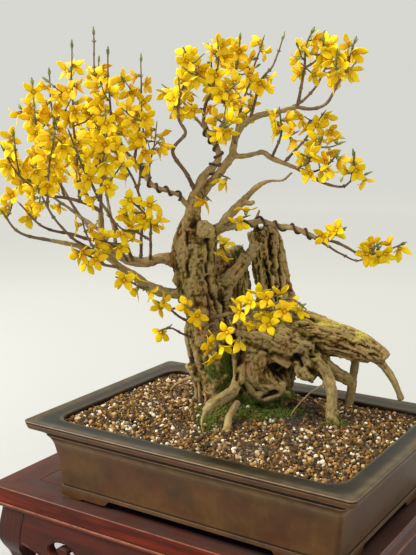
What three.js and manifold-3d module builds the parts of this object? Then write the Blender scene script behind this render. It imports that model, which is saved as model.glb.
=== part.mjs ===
// A flowering forsythia bonsai with a hollowed, root-braced trunk, in a lipped stoneware pot on a
// low hardwood display table. Millimetres, +Z up. The pieces are placed from the middle of the
// pot's rim, and the finished group is moved so that its origin is under the middle of the whole
// thing, on the floor that the table stands on.
import * as THREE from 'three';
import { mergeVertices } from 'three/addons/utils/BufferGeometryUtils.js';
import Module from 'manifold-3d';

// Driving dimensions of the pot
const POT_LENGTH = 460;
const POT_WIDTH = 323;
const POT_HEIGHT = 107;
const POT_FOOT_HEIGHT = 11;
const POT_FOOT_LENGTH = 78;
const SOIL_EDGE = -7;
const SOIL_MOUND = 15;

// Driving dimensions of the display table
const TABLE_LENGTH = 522;
const TABLE_WIDTH = 304;
const TABLE_HEIGHT = 150;
const TABLE_OFFSET = -45;
const FRAME_WIDTH = 46;
const FRAME_THICK = 30;
const APRON_THICK = 12;
const APRON_HEIGHT = 62;
const APRON_LEAN = 5;
const SCROLL_PITCH = 69;
const LEG_SIZE = 44;

// Driving dimensions of the tree
const TREE_TURN = THREE.MathUtils.degToRad(33.45);
const TREE_FOOT = new THREE.Vector3(10, 45, 0);
const WIRE_RADIUS = 1.6;

// Driving dimensions of a bloom: how far its petals and the notches between them reach from its
// middle, how far the tips stand forward, and how far its throat is from the stem
const PETAL_REACH = 14.5;
const NOTCH_REACH = 6.4;
const PETAL_LIFT = 2.5;
const BLOOM_DEPTH = 8;

// How blooms and shoots are spread: the run of stem for each whorl, the ways a whorl is turned
// before it is left out, the room round a shoot, and the least run between two joints
const BLOOM_SPACING = 11;
const ATTEMPTS = 5;
const SHOOT_ROOM = 6;
const JOINT_ROOM = 7;

// How a stem's skin is spaced: the height of a joint's band, the first ring of a shoot, and the
// longest run between rings
const BAND = 3;
const SHOOT_START = 6;
const STEM_STEP = 38;

const THIRD = 2 * Math.PI / 3;

// Clearance that neighbouring pieces keep, so that none touches another
const GAP = 0.35;

const COLOURS = {
  stoneware: 0x5b4a3a,
  soil: 0x8a5a35,
  bark: 0x8b7358,
  petal: 0xf4cb17,
  wire: 0x33281f,
  rosewood: 0x5a2118,
};

const wasm = await Module();
wasm.setup();

// A closed geometry as a solid that can be joined and cut.
function solidOf(geometry) {
  const bare = geometry.index ? geometry.toNonIndexed() : geometry.clone();
  bare.deleteAttribute('normal');
  bare.deleteAttribute('uv');
  const merged = mergeVertices(bare, 1e-4);
  const mesh = new wasm.Mesh({
    numProp: 3,
    vertProperties: merged.attributes.position.array,
    triVerts: new Uint32Array(merged.index.array),
  });
  return new wasm.Manifold(mesh);
}

// A joined or cut solid as a geometry again.
function geometryOf(solid) {
  const { vertProperties, triVerts } = solid.getMesh();
  const geometry = new THREE.BufferGeometry();
  geometry.setAttribute('position', new THREE.BufferAttribute(vertProperties, 3));
  geometry.setIndex(new THREE.BufferAttribute(triVerts, 1));
  geometry.computeVertexNormals();
  return geometry;
}

function joined(solids) {
  return wasm.Manifold.union(solids);
}

// The main body of a cut solid: loose scraps are dropped.
function largestBody(solid) {
  const bodies = solid.decompose();
  return bodies.reduce((most, body) => (body.volume() > most.volume() ? body : most));
}

// A closed skin over triangles given as corner numbers.
function skin(corners, triangles) {
  const geometry = new THREE.BufferGeometry().setFromPoints(corners);
  geometry.setIndex(triangles.flat());
  return geometry;
}

// A closed body through rings of equally many points, each ring turning left seen from its far end.
function loft(rings) {
  const sides = rings[0].length;
  const triangles = [];
  for (let ring = 0; ring + 1 < rings.length; ring++) {
    for (let side = 0; side < sides; side++) {
      const next = (side + 1) % sides;
      const low = ring * sides;
      const high = low + sides;
      triangles.push([low + side, low + next, high + next]);
      triangles.push([low + side, high + next, high + side]);
    }
  }
  const last = (rings.length - 1) * sides;
  for (let side = 1; side + 1 < sides; side++) {
    triangles.push([0, side + 1, side]);
    triangles.push([last, last + side, last + side + 1]);
  }
  return skin(rings.flat(), triangles);
}

// A rectangle with round corners at one height, turning left seen from above, with extra points
// along its straight sides where they are asked for.
function roundedRing(length, width, radius, height, { perCorner = 3, perSide = 0 } = {}) {
  const ring = [];
  for (let corner = 0; corner < 4; corner++) {
    const signX = corner === 0 || corner === 3 ? 1 : -1;
    const signY = corner < 2 ? 1 : -1;
    for (let step = 0; step < perCorner; step++) {
      const angle = (corner + step / (perCorner - 1)) * Math.PI / 2;
      ring.push(new THREE.Vector3(
        signX * (length / 2 - radius) + radius * Math.cos(angle),
        signY * (width / 2 - radius) + radius * Math.sin(angle),
        height,
      ));
    }
  }
  return ring.flatMap((point, index) => {
    const next = ring[(index + 1) % ring.length];
    const cuts = index % perCorner === perCorner - 1 ? perSide : 0;
    const shares = Array.from({ length: cuts }, (_, cut) => (cut + 1) / (cuts + 1));
    return [point, ...shares.map((share) => point.clone().lerp(next, share))];
  });
}

// Pot: a slab-built rectangular tray with a lipped rim, a hollow throat under the lip, a band at
// the waist and four cloud-cut feet.
const POT_PROFILE = [
  { inset: 31.5, height: -POT_HEIGHT, radius: 7 },
  { inset: 32.5, height: -95, radius: 7 },
  { inset: 30.5, height: -93, radius: 8 },
  { inset: 30.5, height: -89.5, radius: 8 },
  { inset: 33.5, height: -87.5, radius: 7 },
  { inset: 28.5, height: -38, radius: 7 },
  { inset: 25.5, height: -29, radius: 7 },
  { inset: 18, height: -20, radius: 7 },
  { inset: 6, height: -13.5, radius: 7 },
  { inset: 4.5, height: -12, radius: 7 },
  { inset: 0, height: -2, radius: 8 },
  { inset: 1.5, height: 0, radius: 7 },
  { inset: 29, height: -1, radius: 26 },
  { inset: 31.5, height: -3.5, radius: 24 },
  { inset: 40, height: -82, radius: 22 },
  { inset: 52, height: -90, radius: 16 },
];

function potRing({ inset, height, radius }) {
  return roundedRing(POT_LENGTH - 2 * inset, POT_WIDTH - 2 * inset, radius, height);
}

// The gap between two feet: flat on top, with a small step and a round shoulder at each foot.
function footGap(span, depth) {
  const outline = new THREE.Shape();
  const half = span / 2;
  const top = POT_FOOT_HEIGHT;
  outline.moveTo(-half, -5);
  outline.lineTo(half, -5);
  outline.lineTo(half, 1);
  outline.quadraticCurveTo(half - 1, top * 0.55, half - 9, top * 0.55);
  outline.quadraticCurveTo(half - 13, top * 0.6, half - 15, top);
  outline.lineTo(-half + 15, top);
  outline.quadraticCurveTo(-half + 13, top * 0.6, -half + 9, top * 0.55);
  outline.quadraticCurveTo(-half + 1, top * 0.55, -half, 1);
  const options = { depth, bevelEnabled: false, curveSegments: 3 };
  const geometry = new THREE.ExtrudeGeometry(outline, options);
  geometry.translate(0, 0, -depth / 2);
  geometry.rotateX(Math.PI / 2);
  geometry.translate(0, 0, -POT_HEIGHT);
  return geometry;
}

function potGeometry() {
  const body = solidOf(loft(POT_PROFILE.map(potRing)));
  const footInset = POT_PROFILE[0].inset;
  const lengthways = footGap(POT_LENGTH - 2 * (footInset + POT_FOOT_LENGTH), POT_WIDTH);
  const widthSpan = POT_WIDTH - 2 * (footInset + POT_FOOT_LENGTH * 0.8);
  const crossways = footGap(widthSpan, POT_LENGTH).rotateZ(Math.PI / 2);
  const drains = [-95, 95].map((x) => {
    const hole = new THREE.CylinderGeometry(11, 11, 40, 12);
    hole.rotateX(Math.PI / 2);
    hole.translate(x, 0, -POT_HEIGHT + 15);
    return solidOf(hole);
  });
  const cuts = [solidOf(lengthways), solidOf(crossways), ...drains];
  return geometryOf(cuts.reduce((whole, cut) => whole.subtract(cut), body));
}

// Height of the soil at a share of the way from the middle to the pot's wall.
function soilHeight(x, y, share) {
  const rise = Math.cos(Math.min(1, share) * Math.PI / 2) ** 1.3;
  const ripple = 1.6 * Math.sin(x / 17 + 1) * Math.cos(y / 14) + Math.sin(x / 7 + y / 9);
  return SOIL_EDGE + SOIL_MOUND * rise + ripple * Math.min(1, 3 * (1 - share));
}

// Soil: a mound that fills the pot, with a hole for each root that goes into it.
function soilGeometry(roots) {
  const wall = POT_PROFILE[POT_PROFILE.length - 3];
  const foot = POT_PROFILE[POT_PROFILE.length - 2];
  const ringAt = (share, inset, radius, height) => roundedRing(
    (POT_LENGTH - 2 * inset) * share,
    (POT_WIDTH - 2 * inset) * share,
    radius * share,
    height,
    { perSide: 2 },
  );
  const rings = [
    ringAt(1, foot.inset + GAP + 0.3, foot.radius, foot.height + 2),
    ringAt(1, wall.inset + GAP + 0.6, wall.radius, SOIL_EDGE),
  ];
  for (const share of [0.92, 0.7, 0.46, 0.22]) {
    const ring = ringAt(share, wall.inset, wall.radius, 0);
    ring.forEach((point) => point.setZ(soilHeight(point.x, point.y, share)));
    rings.push(ring);
  }
  return geometryOf(largestBody(solidOf(loft(rings)).subtract(roots)));
}

// Limbs of the tree. Each point is [across, away, up, radius] in the tree's own frame, whose
// front looks along the line that the tree is best seen from.
const LIMBS = {
  main_trunk: [[-40, 2, -28, 24], [-44, 0, 7, 26.5], [-57, -6, 42, 26], [-71, -8, 87, 24.5],
    [-80, -8, 127, 23], [-89, -6, 162, 22], [-91, -5, 196, 23], [-91, -4, 221, 23],
    [-94, -2, 244, 12.5], [-90, 0, 265, 9], [-86, 0, 282, 8]],
  left_stem: [[-97, -2, 146, 13], [-105, 2, 177, 13], [-109, 4, 208, 11.5], [-106, 4, 228, 9],
    [-99, 2, 249, 6.5]],
  right_stem: [[-76, 0, 145, 11.5], [-76, 4, 184, 11.5], [-72, 4, 210, 10.5], [-73, 2, 228, 10],
    [-78, 0, 241, 6.5]],
  dead_stump: [[17, 40, 73, 32.5], [17, 42, 114, 28], [12, 44, 155, 22.5], [7, 45, 189, 21.5],
    [4, 45, 213, 20], [-1, 46, 232, 18.5]],
  stump_shard: [[-6, 44, 221, 8], [-8, 44, 240, 6.5], [-4, 44, 257, 1.5]],
  mossy_stub: [[-31, 48, 134, 17.5], [-33, 50, 168, 15], [-34, 50, 194, 11.5], [-35, 50, 207, 8]],
  rough_stem: [[-43, 18, 107, 18.5], [-55, 14, 148, 14.5], [-50, 12, 166, 11.5], [-34, 12, 184, 9],
    [-21, 13, 200, 8], [-9, 15, 212, 6], [1, 17, 222, 3], [2, 18, 238, 2]],
  heart_of_base: [[-3, 16, -36, 32], [-3, 14, 16, 40], [-3, 12, 60, 50], [2, 16, 93, 47.5],
    [-2, 26, 122, 34.5]],
  base_left: [[-65, 8, 35, 21], [-59, 8, 73, 21], [-51, 4, 104, 19.5]],
  arm: [[10, 10, 95, 34], [41, 6, 97, 26], [69, 0, 95, 22], [94, -6, 91, 19.5], [117, -10, 85, 18],
    [137, -14, 76, 14], [153, -16, 69, 9]],
  arm_upper_ridge: [[33, 14, 116, 15.5], [62, 8, 115, 9], [89, 0, 108, 7], [112, -8, 101, 7],
    [132, -12, 91, 6.5], [149, -16, 77, 6.5], [157, -17, 70, 4.5]],
  arm_end_root: [[144, -15, 66, 6.5], [157, -18, 51, 5], [167, -22, 33, 4.5], [174, -26, 15, 4.5]],
  dark_prop: [[118, -2, 79, 6.5], [118, 4, 58, 6], [117, 10, 36, 5.5], [114, 14, 8, 6],
    [113, 16, -12, 5]],
  twisted_root: [[45, -6, 81, 17], [67, -12, 66, 13], [87, -12, 51, 9.5], [105, -8, 40, 8],
    [113, -4, 28, 5], [110, 0, 12, 4], [109, 2, -12, 3.5]],
  front_right_leg: [[58, -22, 67, 13], [73, -36, 55, 9], [80, -50, 38, 7], [79, -60, 18, 7],
    [81, -66, -1, 8.5], [82, -68, -16, 7]],
  knot_burl: [[43, -24, 73, 11.5], [50, -30, 56, 13], [62, -34, 49, 7.5]],
  loop_root: [[-6, -26, 82, 10], [-17, -34, 66, 9], [-12, -38, 47, 7.5], [6, -38, 38, 7],
    [22, -34, 36, 5.5]],
  loop_cap: [[-3, -26, 84, 10], [12, -30, 75, 9], [27, -28, 63, 7.5]],
  loop_left: [[-21, -22, 81, 11.5], [-28, -26, 58, 11.5], [-24, -26, 34, 11.5], [-13, -20, 13, 11.5],
    [-8, -18, -14, 10]],
  low_front_root: [[-19, -30, 22, 6.5], [-2, -38, 27, 7.5], [19, -34, 31, 6.5], [33, -26, 23, 5]],
  front_left_leg: [[-34, -24, 84, 10], [-36, -34, 61, 7.5], [-40, -46, 44, 7.5], [-53, -60, 35, 7],
    [-69, -74, 30, 7], [-79, -84, 23, 5]],
  front_toe: [[-77, -82, 26, 3.5], [-83, -90, 15, 2], [-83, -96, 5, 1.5], [-77, -98, -8, 1.5],
    [-74, -100, -16, 1.5]],
  far_front_root: [[-38, -60, 27, 5], [-49, -80, 16, 4.5], [-54, -96, 4, 4], [-69, -106, -5, 3],
    [-88, -104, -10, 2]],
  left_prop: [[-98, 6, 120, 4], [-102, 10, 98, 4], [-98, 12, 75, 4.5], [-95, 16, 52, 5.5],
    [-91, 20, 26, 4], [-90, 22, -10, 3.5]],
  left_prop_b: [[-88, 2, 116, 4], [-91, 4, 91, 4], [-89, 6, 63, 4], [-87, 6, 36, 3], [-86, 6, 6, 2.5],
    [-86, 6, -12, 2.5]],
  left_knob: [[-96, 14, 58, 10.5], [-88, 14, 42, 10.5], [-75, 12, 28, 10.5]],
  left_root: [[-67, -2, 60, 4.5], [-79, 6, 47, 4], [-93, 30, 33, 3], [-108, 52, 22, 2.5],
    [-124, 72, 6, 2], [-130, 80, -6, 1.5]],
  left_peg: [[-80, 0, 57, 3], [-77, -4, 36, 3], [-78, -6, 10, 2.5], [-78, -8, -10, 2]],
  mid_peg: [[-56, -14, 95, 4], [-54, -20, 70, 3], [-53, -24, 42, 3]],
  thin_right_root: [[73, -46, 45, 2], [55, -50, 36, 1.5], [41, -52, 23, 1.5], [30, -52, 8, 1.5],
    [26, -52, -8, 1.5]],
  lower_left_limb: [[-89, -6, 160, 9], [-107, -8, 156, 7.5], [-127, -14, 158, 6.5], [-147, -20, 167, 6],
    [-164, -24, 181, 5.5], [-181, -28, 193, 4.5], [-197, -32, 207, 4], [-218, -38, 218, 3.5],
    [-241, -46, 227, 3], [-264, -54, 233, 2.5]],
  middle_left_limb: [[-96, 0, 187, 9], [-114, 2, 195, 8.5], [-131, 6, 200, 7], [-148, 10, 194, 6.5],
    [-169, 14, 194, 6.5], [-190, 16, 202, 5.5], [-207, 14, 216, 4.5], [-210, 12, 239, 4],
    [-209, 10, 260, 3.5]],
  fork_left_limb: [[-87, 0, 271, 5], [-100, -3, 270, 3.5], [-107, -6, 280, 3], [-122, -8, 287, 3],
    [-136, -8, 291, 3], [-146, -6, 299, 3.5], [-154, -2, 312, 3.5], [-164, 4, 324, 3]],
  centre_limb: [[-87, 0, 278, 7.5], [-82, -2, 292, 6.5], [-75, -4, 306, 5.5], [-65, -6, 316, 4.5],
    [-58, -6, 327, 4], [-60, -4, 340, 4], [-67, 0, 351, 4], [-73, 4, 361, 4], [-76, 6, 375, 3]],
  right_limb: [[-85, 2, 275, 7.5], [-73, 6, 290, 6.5], [-61, 10, 302, 5.5], [-50, 14, 316, 5.5],
    [-41, 16, 329, 5], [-37, 16, 348, 5], [-30, 14, 363, 4.5], [-19, 12, 373, 4.5], [-3, 10, 379, 4],
    [19, 6, 383, 3.5], [40, 2, 388, 3]],
  right_shoulder: [[-78, 0, 226, 10], [-67, -2, 235, 8.5], [-55, -4, 241, 7.5], [-45, -6, 255, 6.5],
    [-32, -4, 268, 5.5], [-23, 0, 277, 4.5]],
  long_right_limb: [[-62, -4, 239, 5.5], [-42, -4, 240, 4.5], [-22, 2, 243, 4], [-3, 6, 246, 4],
    [14, 2, 240, 4], [34, -6, 238, 3.5], [48, -12, 233, 3.5], [63, -18, 226, 3]],
  right_middle_limb: [[-41, 16, 328, 4], [-26, 10, 328, 3.5], [-11, 2, 331, 3], [-3, -4, 333, 3.5],
    [8, -10, 326, 3.5], [22, -16, 320, 3], [37, -22, 314, 2.5]],
  shoulder_twig: [[-23, 0, 277, 4], [-9, -8, 292, 3.5], [5, -14, 298, 2.5], [21, -18, 299, 2],
    [32, -20, 309, 1.5]],
  shoulder_stub: [[-28, -2, 272, 3.5], [-21, -12, 270, 3.5], [-14, -18, 273, 2.5]],
  trunk_knuckle: [[-83, -4, 234, 15], [-75, -18, 236, 12.5], [-73, -24, 238, 8.5]],
};

// A smooth line through points, as an even Catmull-Rom curve.
function curveThrough(points) {
  const corners = points.map(([across, away, up]) => new THREE.Vector3(across, away, up));
  return new THREE.CatmullRomCurve3(corners, false, 'catmullrom', 0.5);
}

// Radius at a share of the way along evenly numbered points.
function radiusAt(radii, share) {
  const place = Math.min(0.9999, Math.max(0, share)) * (radii.length - 1);
  const low = Math.floor(place);
  return radii[low] + (radii[low + 1] - radii[low]) * (place - low);
}

// A line's length, measured over 24 straight steps.
function lengthOf(curve) {
  const places = Array.from({ length: 25 }, (_, step) => curve.getPoint(step / 24));
  return places.slice(1).reduce((sum, place, step) => sum + place.distanceTo(places[step]), 0);
}

// A round, lobed body along a curve, thicker and thinner as its radii say.
function branchGeometry(curve, radii, { sides, steps, lobes = 0, margin = 0 }) {
  const frames = curve.computeFrenetFrames(steps, false);
  const rings = [];
  for (let step = 0; step <= steps; step++) {
    const share = step / steps;
    const turnAt = curve.getUtoTmapping(share);
    const middle = curve.getPoint(turnAt);
    const ring = [];
    for (let side = 0; side < sides; side++) {
      const angle = (side / sides) * 2 * Math.PI;
      const swell = 1 + lobes * Math.sin(3 * angle + 5 * share + radii.length);
      const radius = radiusAt(radii, turnAt) * swell + margin;
      ring.push(middle.clone()
        .addScaledVector(frames.normals[step], radius * Math.cos(angle))
        .addScaledVector(frames.binormals[step], radius * Math.sin(angle)));
    }
    rings.push(ring);
  }
  return loft(rings);
}

function limbSolid(points, margin = 0) {
  const curve = curveThrough(points);
  const radii = points.map((point) => point[3]);
  const mean = radii.reduce((sum, radius) => sum + radius, 0) / radii.length;
  const sides = mean > 12 ? 8 : mean > 6 ? 6 : 4;
  const steps = Math.max(points.length - 1, Math.round(curve.getLength() / (16 + mean)));
  const lobes = mean > 6 ? 0.1 : 0.05;
  return solidOf(branchGeometry(curve, radii, { sides, steps, lobes, margin }));
}

// A repeatable draw between 0 and 1.
function drawFrom(seed) {
  let state = seed;
  return () => {
    state = (state * 48271) % 2147483647;
    return state / 2147483647;
  };
}

// Flowering sprays, each with the seed of its draws. A stem is a list of [across, away, up] points
// with its thickness at both ends, how many side shoots it may carry, their reach and lift, and the
// stretch that flowers.
const stem = (points, habit) => ({ points, ...habit });
const SPRAYS = {
  far_left_tip: { seed: 21, stems: [
    stem([[-264, -54, 233], [-284, -60, 238], [-303, -66, 249], [-314, -74, 268]],
      { thick: [2.2, 1], shoots: 1, reach: [24, 32], lift: 0.9, flowered: [0.9, 1] }),
  ] },
  left_low: { seed: 124, stems: [
    stem([[-212, 14, 223], [-229, -4, 228], [-247, -20, 237], [-267, -34, 243], [-283, -46, 257],
      [-298, -56, 278]],
      { thick: [2.4, 1], shoots: 2, reach: [35, 50], lift: 0.8, flowered: [0.74, 1] }),
  ] },
  left_middle: { seed: 54, stems: [
    stem([[-209, 10, 260], [-226, 2, 272], [-251, -10, 280], [-279, -26, 289], [-302, -40, 313],
      [-315, -50, 342]],
      { thick: [2.6, 1], shoots: 2, reach: [36, 54], lift: 0.8, flowered: [0.55, 1] }),
    stem([[-209, 12, 259], [-208, 16, 313], [-209, 18, 375], [-211, 14, 429], [-210, 10, 481]],
      { thick: [2.2, 0.8], shoots: 2, reach: [30, 48], lift: 0.5, flowered: [0.34, 0.78] }),
    stem([[-251, -10, 280], [-257, -8, 305], [-262, -4, 335], [-262, -2, 372]],
      { thick: [1.6, 0.9], shoots: 2, reach: [22, 34], lift: 0.5, flowered: [0.3, 1] }),
  ] },
  left_back: { seed: 39, stems: [
    stem([[-208, 14, 233], [-229, 34, 244], [-258, 56, 261], [-292, 72, 284], [-330, 84, 318]],
      { thick: [2.6, 1], shoots: 2, reach: [42, 62], lift: 0.85, flowered: [0.55, 1] }),
    stem([[-292, 72, 284], [-308, 62, 296], [-322, 48, 312], [-330, 36, 332]],
      { thick: [1.6, 0.9], shoots: 1, reach: [22, 32], lift: 0.4, flowered: [0.3, 1] }),
  ] },
  left_fan_low: { seed: 166, stems: [
    stem([[-216, -38, 218], [-237, -70, 240], [-258, -92, 276], [-270, -104, 314]],
      { thick: [2, 1], shoots: 2, reach: [30, 44], lift: 0.7, flowered: [0.62, 1] }),
    stem([[-258, -92, 276], [-256, -96, 304], [-252, -94, 332], [-246, -90, 362]],
      { thick: [1.6, 0.9], shoots: 1, reach: [22, 32], lift: 0.5, flowered: [0.3, 1] }),
  ] },
  left_tall_a: { seed: 126, stems: [
    stem([[-220, 6, 268], [-232, 26, 287], [-244, 44, 311], [-262, 56, 344], [-274, 60, 389],
      [-275, 56, 435]],
      { thick: [2.4, 0.9], shoots: 2, reach: [35, 52], lift: 0.6, flowered: [0.35, 0.92] }),
  ] },
  left_tall_b: { seed: 35, stems: [
    stem([[-268, -20, 284], [-273, -26, 322], [-280, -22, 374], [-284, -14, 420]],
      { thick: [1.8, 0.8], shoots: 2, reach: [26, 40], lift: 0.5, flowered: [0.2, 0.95] }),
  ] },
  left_tall_c: { seed: 126, stems: [
    stem([[-234, 0, 274], [-233, -16, 321], [-234, -26, 376], [-234, -26, 423], [-233, -20, 463]],
      { thick: [2, 0.8], shoots: 2, reach: [30, 46], lift: 0.5, flowered: [0.3, 0.9] }),
  ] },
  left_wired_end: { seed: 96, stems: [
    stem([[-164, 4, 324], [-177, -16, 344], [-185, -34, 373], [-188, -44, 413], [-187, -48, 453]],
      { thick: [2, 0.8], shoots: 2, reach: [30, 44], lift: 0.5, flowered: [0.25, 0.88] }),
    stem([[-164, 4, 324], [-158, 12, 360], [-155, 22, 402], [-154, 28, 449]],
      { thick: [2, 0.8], shoots: 2, reach: [26, 40], lift: 0.45, flowered: [0.25, 0.92] }),
  ] },
  left_inner_back: { seed: 159, stems: [
    stem([[-190, 16, 202], [-199, 46, 242], [-212, 78, 295], [-220, 96, 348], [-230, 104, 402]],
      { thick: [2.4, 0.9], shoots: 2, reach: [36, 56], lift: 0.5, flowered: [0.5, 1] }),
  ] },
  left_far_back: { seed: 33, stems: [
    stem([[-207, 14, 216], [-243, 60, 249], [-277, 100, 295], [-300, 116, 349], [-314, 120, 398]],
      { thick: [2.4, 0.9], shoots: 2, reach: [32, 50], lift: 0.5, flowered: [0.5, 1] }),
  ] },
  left_front_fan: { seed: 162, stems: [
    stem([[-169, 12, 194], [-181, -34, 237], [-200, -70, 283], [-216, -92, 324], [-229, -100, 365]],
      { thick: [2.4, 0.9], shoots: 3, reach: [32, 52], lift: 0.5, flowered: [0.5, 1] }),
    stem([[-200, -70, 283], [-196, -74, 315], [-190, -76, 350], [-189, -78, 388]],
      { thick: [1.6, 0.9], shoots: 2, reach: [22, 34], lift: 0.5, flowered: [0.3, 1] }),
  ] },
  left_front_inner: { seed: 128, stems: [
    stem([[-160, 13, 195], [-158, 4, 226], [-154, -4, 258], [-158, -28, 290], [-169, -50, 319],
      [-184, -66, 345], [-201, -74, 371]],
      { thick: [2.2, 0.9], shoots: 2, reach: [28, 44], lift: 0.4, flowered: [0.6, 1] }),
    stem([[-158, -28, 290], [-152, -42, 322], [-148, -52, 358], [-149, -54, 394]],
      { thick: [1.6, 0.9], shoots: 2, reach: [22, 32], lift: 0.5, flowered: [0.3, 1] }),
  ] },
  left_front_bunch: { seed: 22, stems: [
    stem([[-148, 8, 194], [-144, -24, 227], [-143, -46, 253], [-154, -60, 271], [-169, -66, 284]],
      { thick: [2, 1], shoots: 3, reach: [20, 30], lift: 0.2, flowered: [0.42, 1] }),
    stem([[-144, -24, 227], [-160, -44, 240], [-176, -56, 246], [-192, -60, 262]],
      { thick: [1.6, 0.9], shoots: 2, reach: [18, 26], lift: 0.3, flowered: [0.3, 1] }),
  ] },
  left_wired_rise: { seed: 71, stems: [
    stem([[-146, -6, 299], [-144, -2, 319], [-139, 4, 342], [-135, 8, 369]],
      { thick: [1.6, 0.8], shoots: 2, reach: [24, 34], lift: 0.4, flowered: [0.45, 1] }),
  ] },
  left_shelf_low: { seed: 38, stems: [
    stem([[-181, -28, 193], [-200, -50, 202], [-217, -66, 215], [-229, -78, 224]],
      { thick: [2, 1], shoots: 2, reach: [18, 28], lift: 0.1, flowered: [0.3, 1] }),
    stem([[-200, -50, 202], [-213, -47, 222], [-222, -44, 240], [-225, -46, 256]],
      { thick: [1.4, 0.9], shoots: 1, reach: [16, 24], lift: 0.3, flowered: [0.3, 1] }),
  ] },
  left_shelf_inner: { seed: 154, stems: [
    stem([[-177, 14, 194], [-181, -20, 212], [-191, -40, 225], [-204, -52, 232]],
      { thick: [2, 1], shoots: 2, reach: [18, 28], lift: 0.1, flowered: [0.5, 1] }),
  ] },
  left_under: { seed: 2, stems: [
    stem([[-147, -20, 167], [-155, -44, 171], [-168, -58, 181], [-182, -66, 188]],
      { thick: [1.8, 1], shoots: 2, reach: [14, 22], lift: -0.1, flowered: [0.3, 1] }),
  ] },
  left_low_twig: { seed: 119, stems: [
    stem([[-97, -10, 119], [-112, -22, 129], [-124, -32, 142], [-136, -40, 152]],
      { thick: [1.8, 1], shoots: 1, reach: [14, 20], lift: 0, flowered: [0.55, 1] }),
  ] },
  left_lowest_twig: { seed: 129, stems: [
    stem([[-96, -8, 97], [-107, -22, 106], [-120, -30, 116], [-135, -36, 114]],
      { thick: [1.5, 1], shoots: 1, reach: [12, 18], lift: 0, flowered: [0.6, 1] }),
  ] },
  loop_rise: { seed: 24, stems: [
    stem([[-89, 0, 287], [-98, -12, 308], [-115, -22, 337], [-98, -26, 358], [-107, -20, 377],
      [-105, -12, 401], [-94, -4, 432], [-94, 0, 453]],
      { thick: [2.8, 0.9], shoots: 3, reach: [24, 38], lift: 0.3, flowered: [0.62, 1] }),
  ] },
  crown_left: { seed: 89, stems: [
    stem([[-73, 4, 361], [-86, 30, 376], [-101, 52, 394], [-115, 64, 407], [-128, 70, 418]],
      { thick: [2.2, 0.9], shoots: 2, reach: [24, 38], lift: 0.3, flowered: [0.4, 1] }),
  ] },
  crown_front: { seed: 107, stems: [
    stem([[-76, 6, 375], [-73, -12, 393], [-65, -30, 411], [-58, -40, 437], [-58, -44, 466]],
      { thick: [2.2, 0.9], shoots: 3, reach: [26, 40], lift: 0.2, flowered: [0.1, 1] }),
    stem([[-65, -30, 411], [-78, -38, 424], [-90, -44, 437], [-97, -48, 454]],
      { thick: [1.5, 0.9], shoots: 2, reach: [18, 26], lift: 0.3, flowered: [0.3, 1] }),
  ] },
  crown_middle: { seed: 107, stems: [
    stem([[-67, 0, 351], [-53, 14, 368], [-46, 26, 391], [-40, 32, 415], [-32, 34, 445], [-29, 32, 474]],
      { thick: [2.4, 0.9], shoots: 3, reach: [26, 40], lift: 0.2, flowered: [0.4, 1] }),
    stem([[-46, 26, 391], [-58, 14, 404], [-64, 2, 424], [-66, -6, 446]],
      { thick: [1.5, 0.9], shoots: 1, reach: [18, 26], lift: 0.3, flowered: [0.3, 1] }),
  ] },
  crown_right: { seed: 53, stems: [
    stem([[-37, 16, 347], [-32, 44, 370], [-23, 60, 401], [-10, 66, 439], [3, 66, 477]],
      { thick: [2.2, 0.9], shoots: 3, reach: [24, 38], lift: 0.2, flowered: [0.3, 1] }),
  ] },
  crown_hanging: { seed: 163, stems: [
    stem([[-36, 14, 344], [-41, -14, 356], [-49, -30, 366], [-59, -40, 374]],
      { thick: [1.8, 0.9], shoots: 3, reach: [20, 30], lift: -0.1, flowered: [0.3, 1] }),
  ] },
  bare_riser: { seed: 134, stems: [
    stem([[-18, 12, 374], [-11, 0, 400], [-3, -10, 423], [8, -14, 437], [15, -14, 451], [21, -12, 470]],
      { thick: [2, 0.8], shoots: 1, reach: [12, 18], lift: 0.5, flowered: [0.28, 0.5] }),
  ] },
  right_upright_front: { seed: 40, stems: [
    stem([[40, 2, 388], [44, -6, 408], [47, -12, 434], [48, -14, 458], [56, -12, 476]],
      { thick: [2.2, 0.9], shoots: 3, reach: [22, 36], lift: 0.3, flowered: [0.38, 0.95] }),
    stem([[47, -12, 434], [57, -26, 440], [65, -36, 450], [66, -42, 464]],
      { thick: [1.5, 0.9], shoots: 1, reach: [16, 24], lift: 0.3, flowered: [0.3, 1] }),
  ] },
  right_upright_back: { seed: 170, stems: [
    stem([[32, 4, 386], [54, 30, 399], [74, 48, 422], [86, 58, 447], [91, 62, 475]],
      { thick: [2, 0.9], shoots: 3, reach: [22, 36], lift: 0.3, flowered: [0.45, 1] }),
  ] },
  right_tip: { seed: 148, stems: [
    stem([[40, 2, 388], [58, -6, 385], [74, -14, 392], [85, -22, 410], [93, -28, 428], [100, -30, 447],
      [105, -30, 463]],
      { thick: [2.4, 0.9], shoots: 3, reach: [20, 32], lift: 0.3, flowered: [0.5, 1] }),
    stem([[85, -22, 410], [84, -40, 418], [80, -52, 430], [80, -58, 446]],
      { thick: [1.5, 0.9], shoots: 1, reach: [16, 24], lift: 0.3, flowered: [0.3, 1] }),
  ] },
  right_spur: { seed: 70, stems: [
    stem([[8, -10, 326], [14, -26, 345], [18, -36, 361], [15, -40, 384]],
      { thick: [1.8, 0.9], shoots: 2, reach: [20, 30], lift: 0.25, flowered: [0.4, 1] }),
  ] },
  right_shelf_back: { seed: 123, stems: [
    stem([[22, -16, 320], [39, 6, 335], [54, 22, 349], [67, 30, 366], [78, 32, 381]],
      { thick: [1.9, 0.9], shoots: 2, reach: [20, 32], lift: 0.2, flowered: [0.45, 1] }),
  ] },
  right_shelf_tip: { seed: 28, stems: [
    stem([[37, -22, 314], [49, -40, 322], [58, -50, 334], [64, -54, 351]],
      { thick: [2, 0.9], shoots: 3, reach: [20, 32], lift: 0.1, flowered: [0.2, 1] }),
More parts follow.
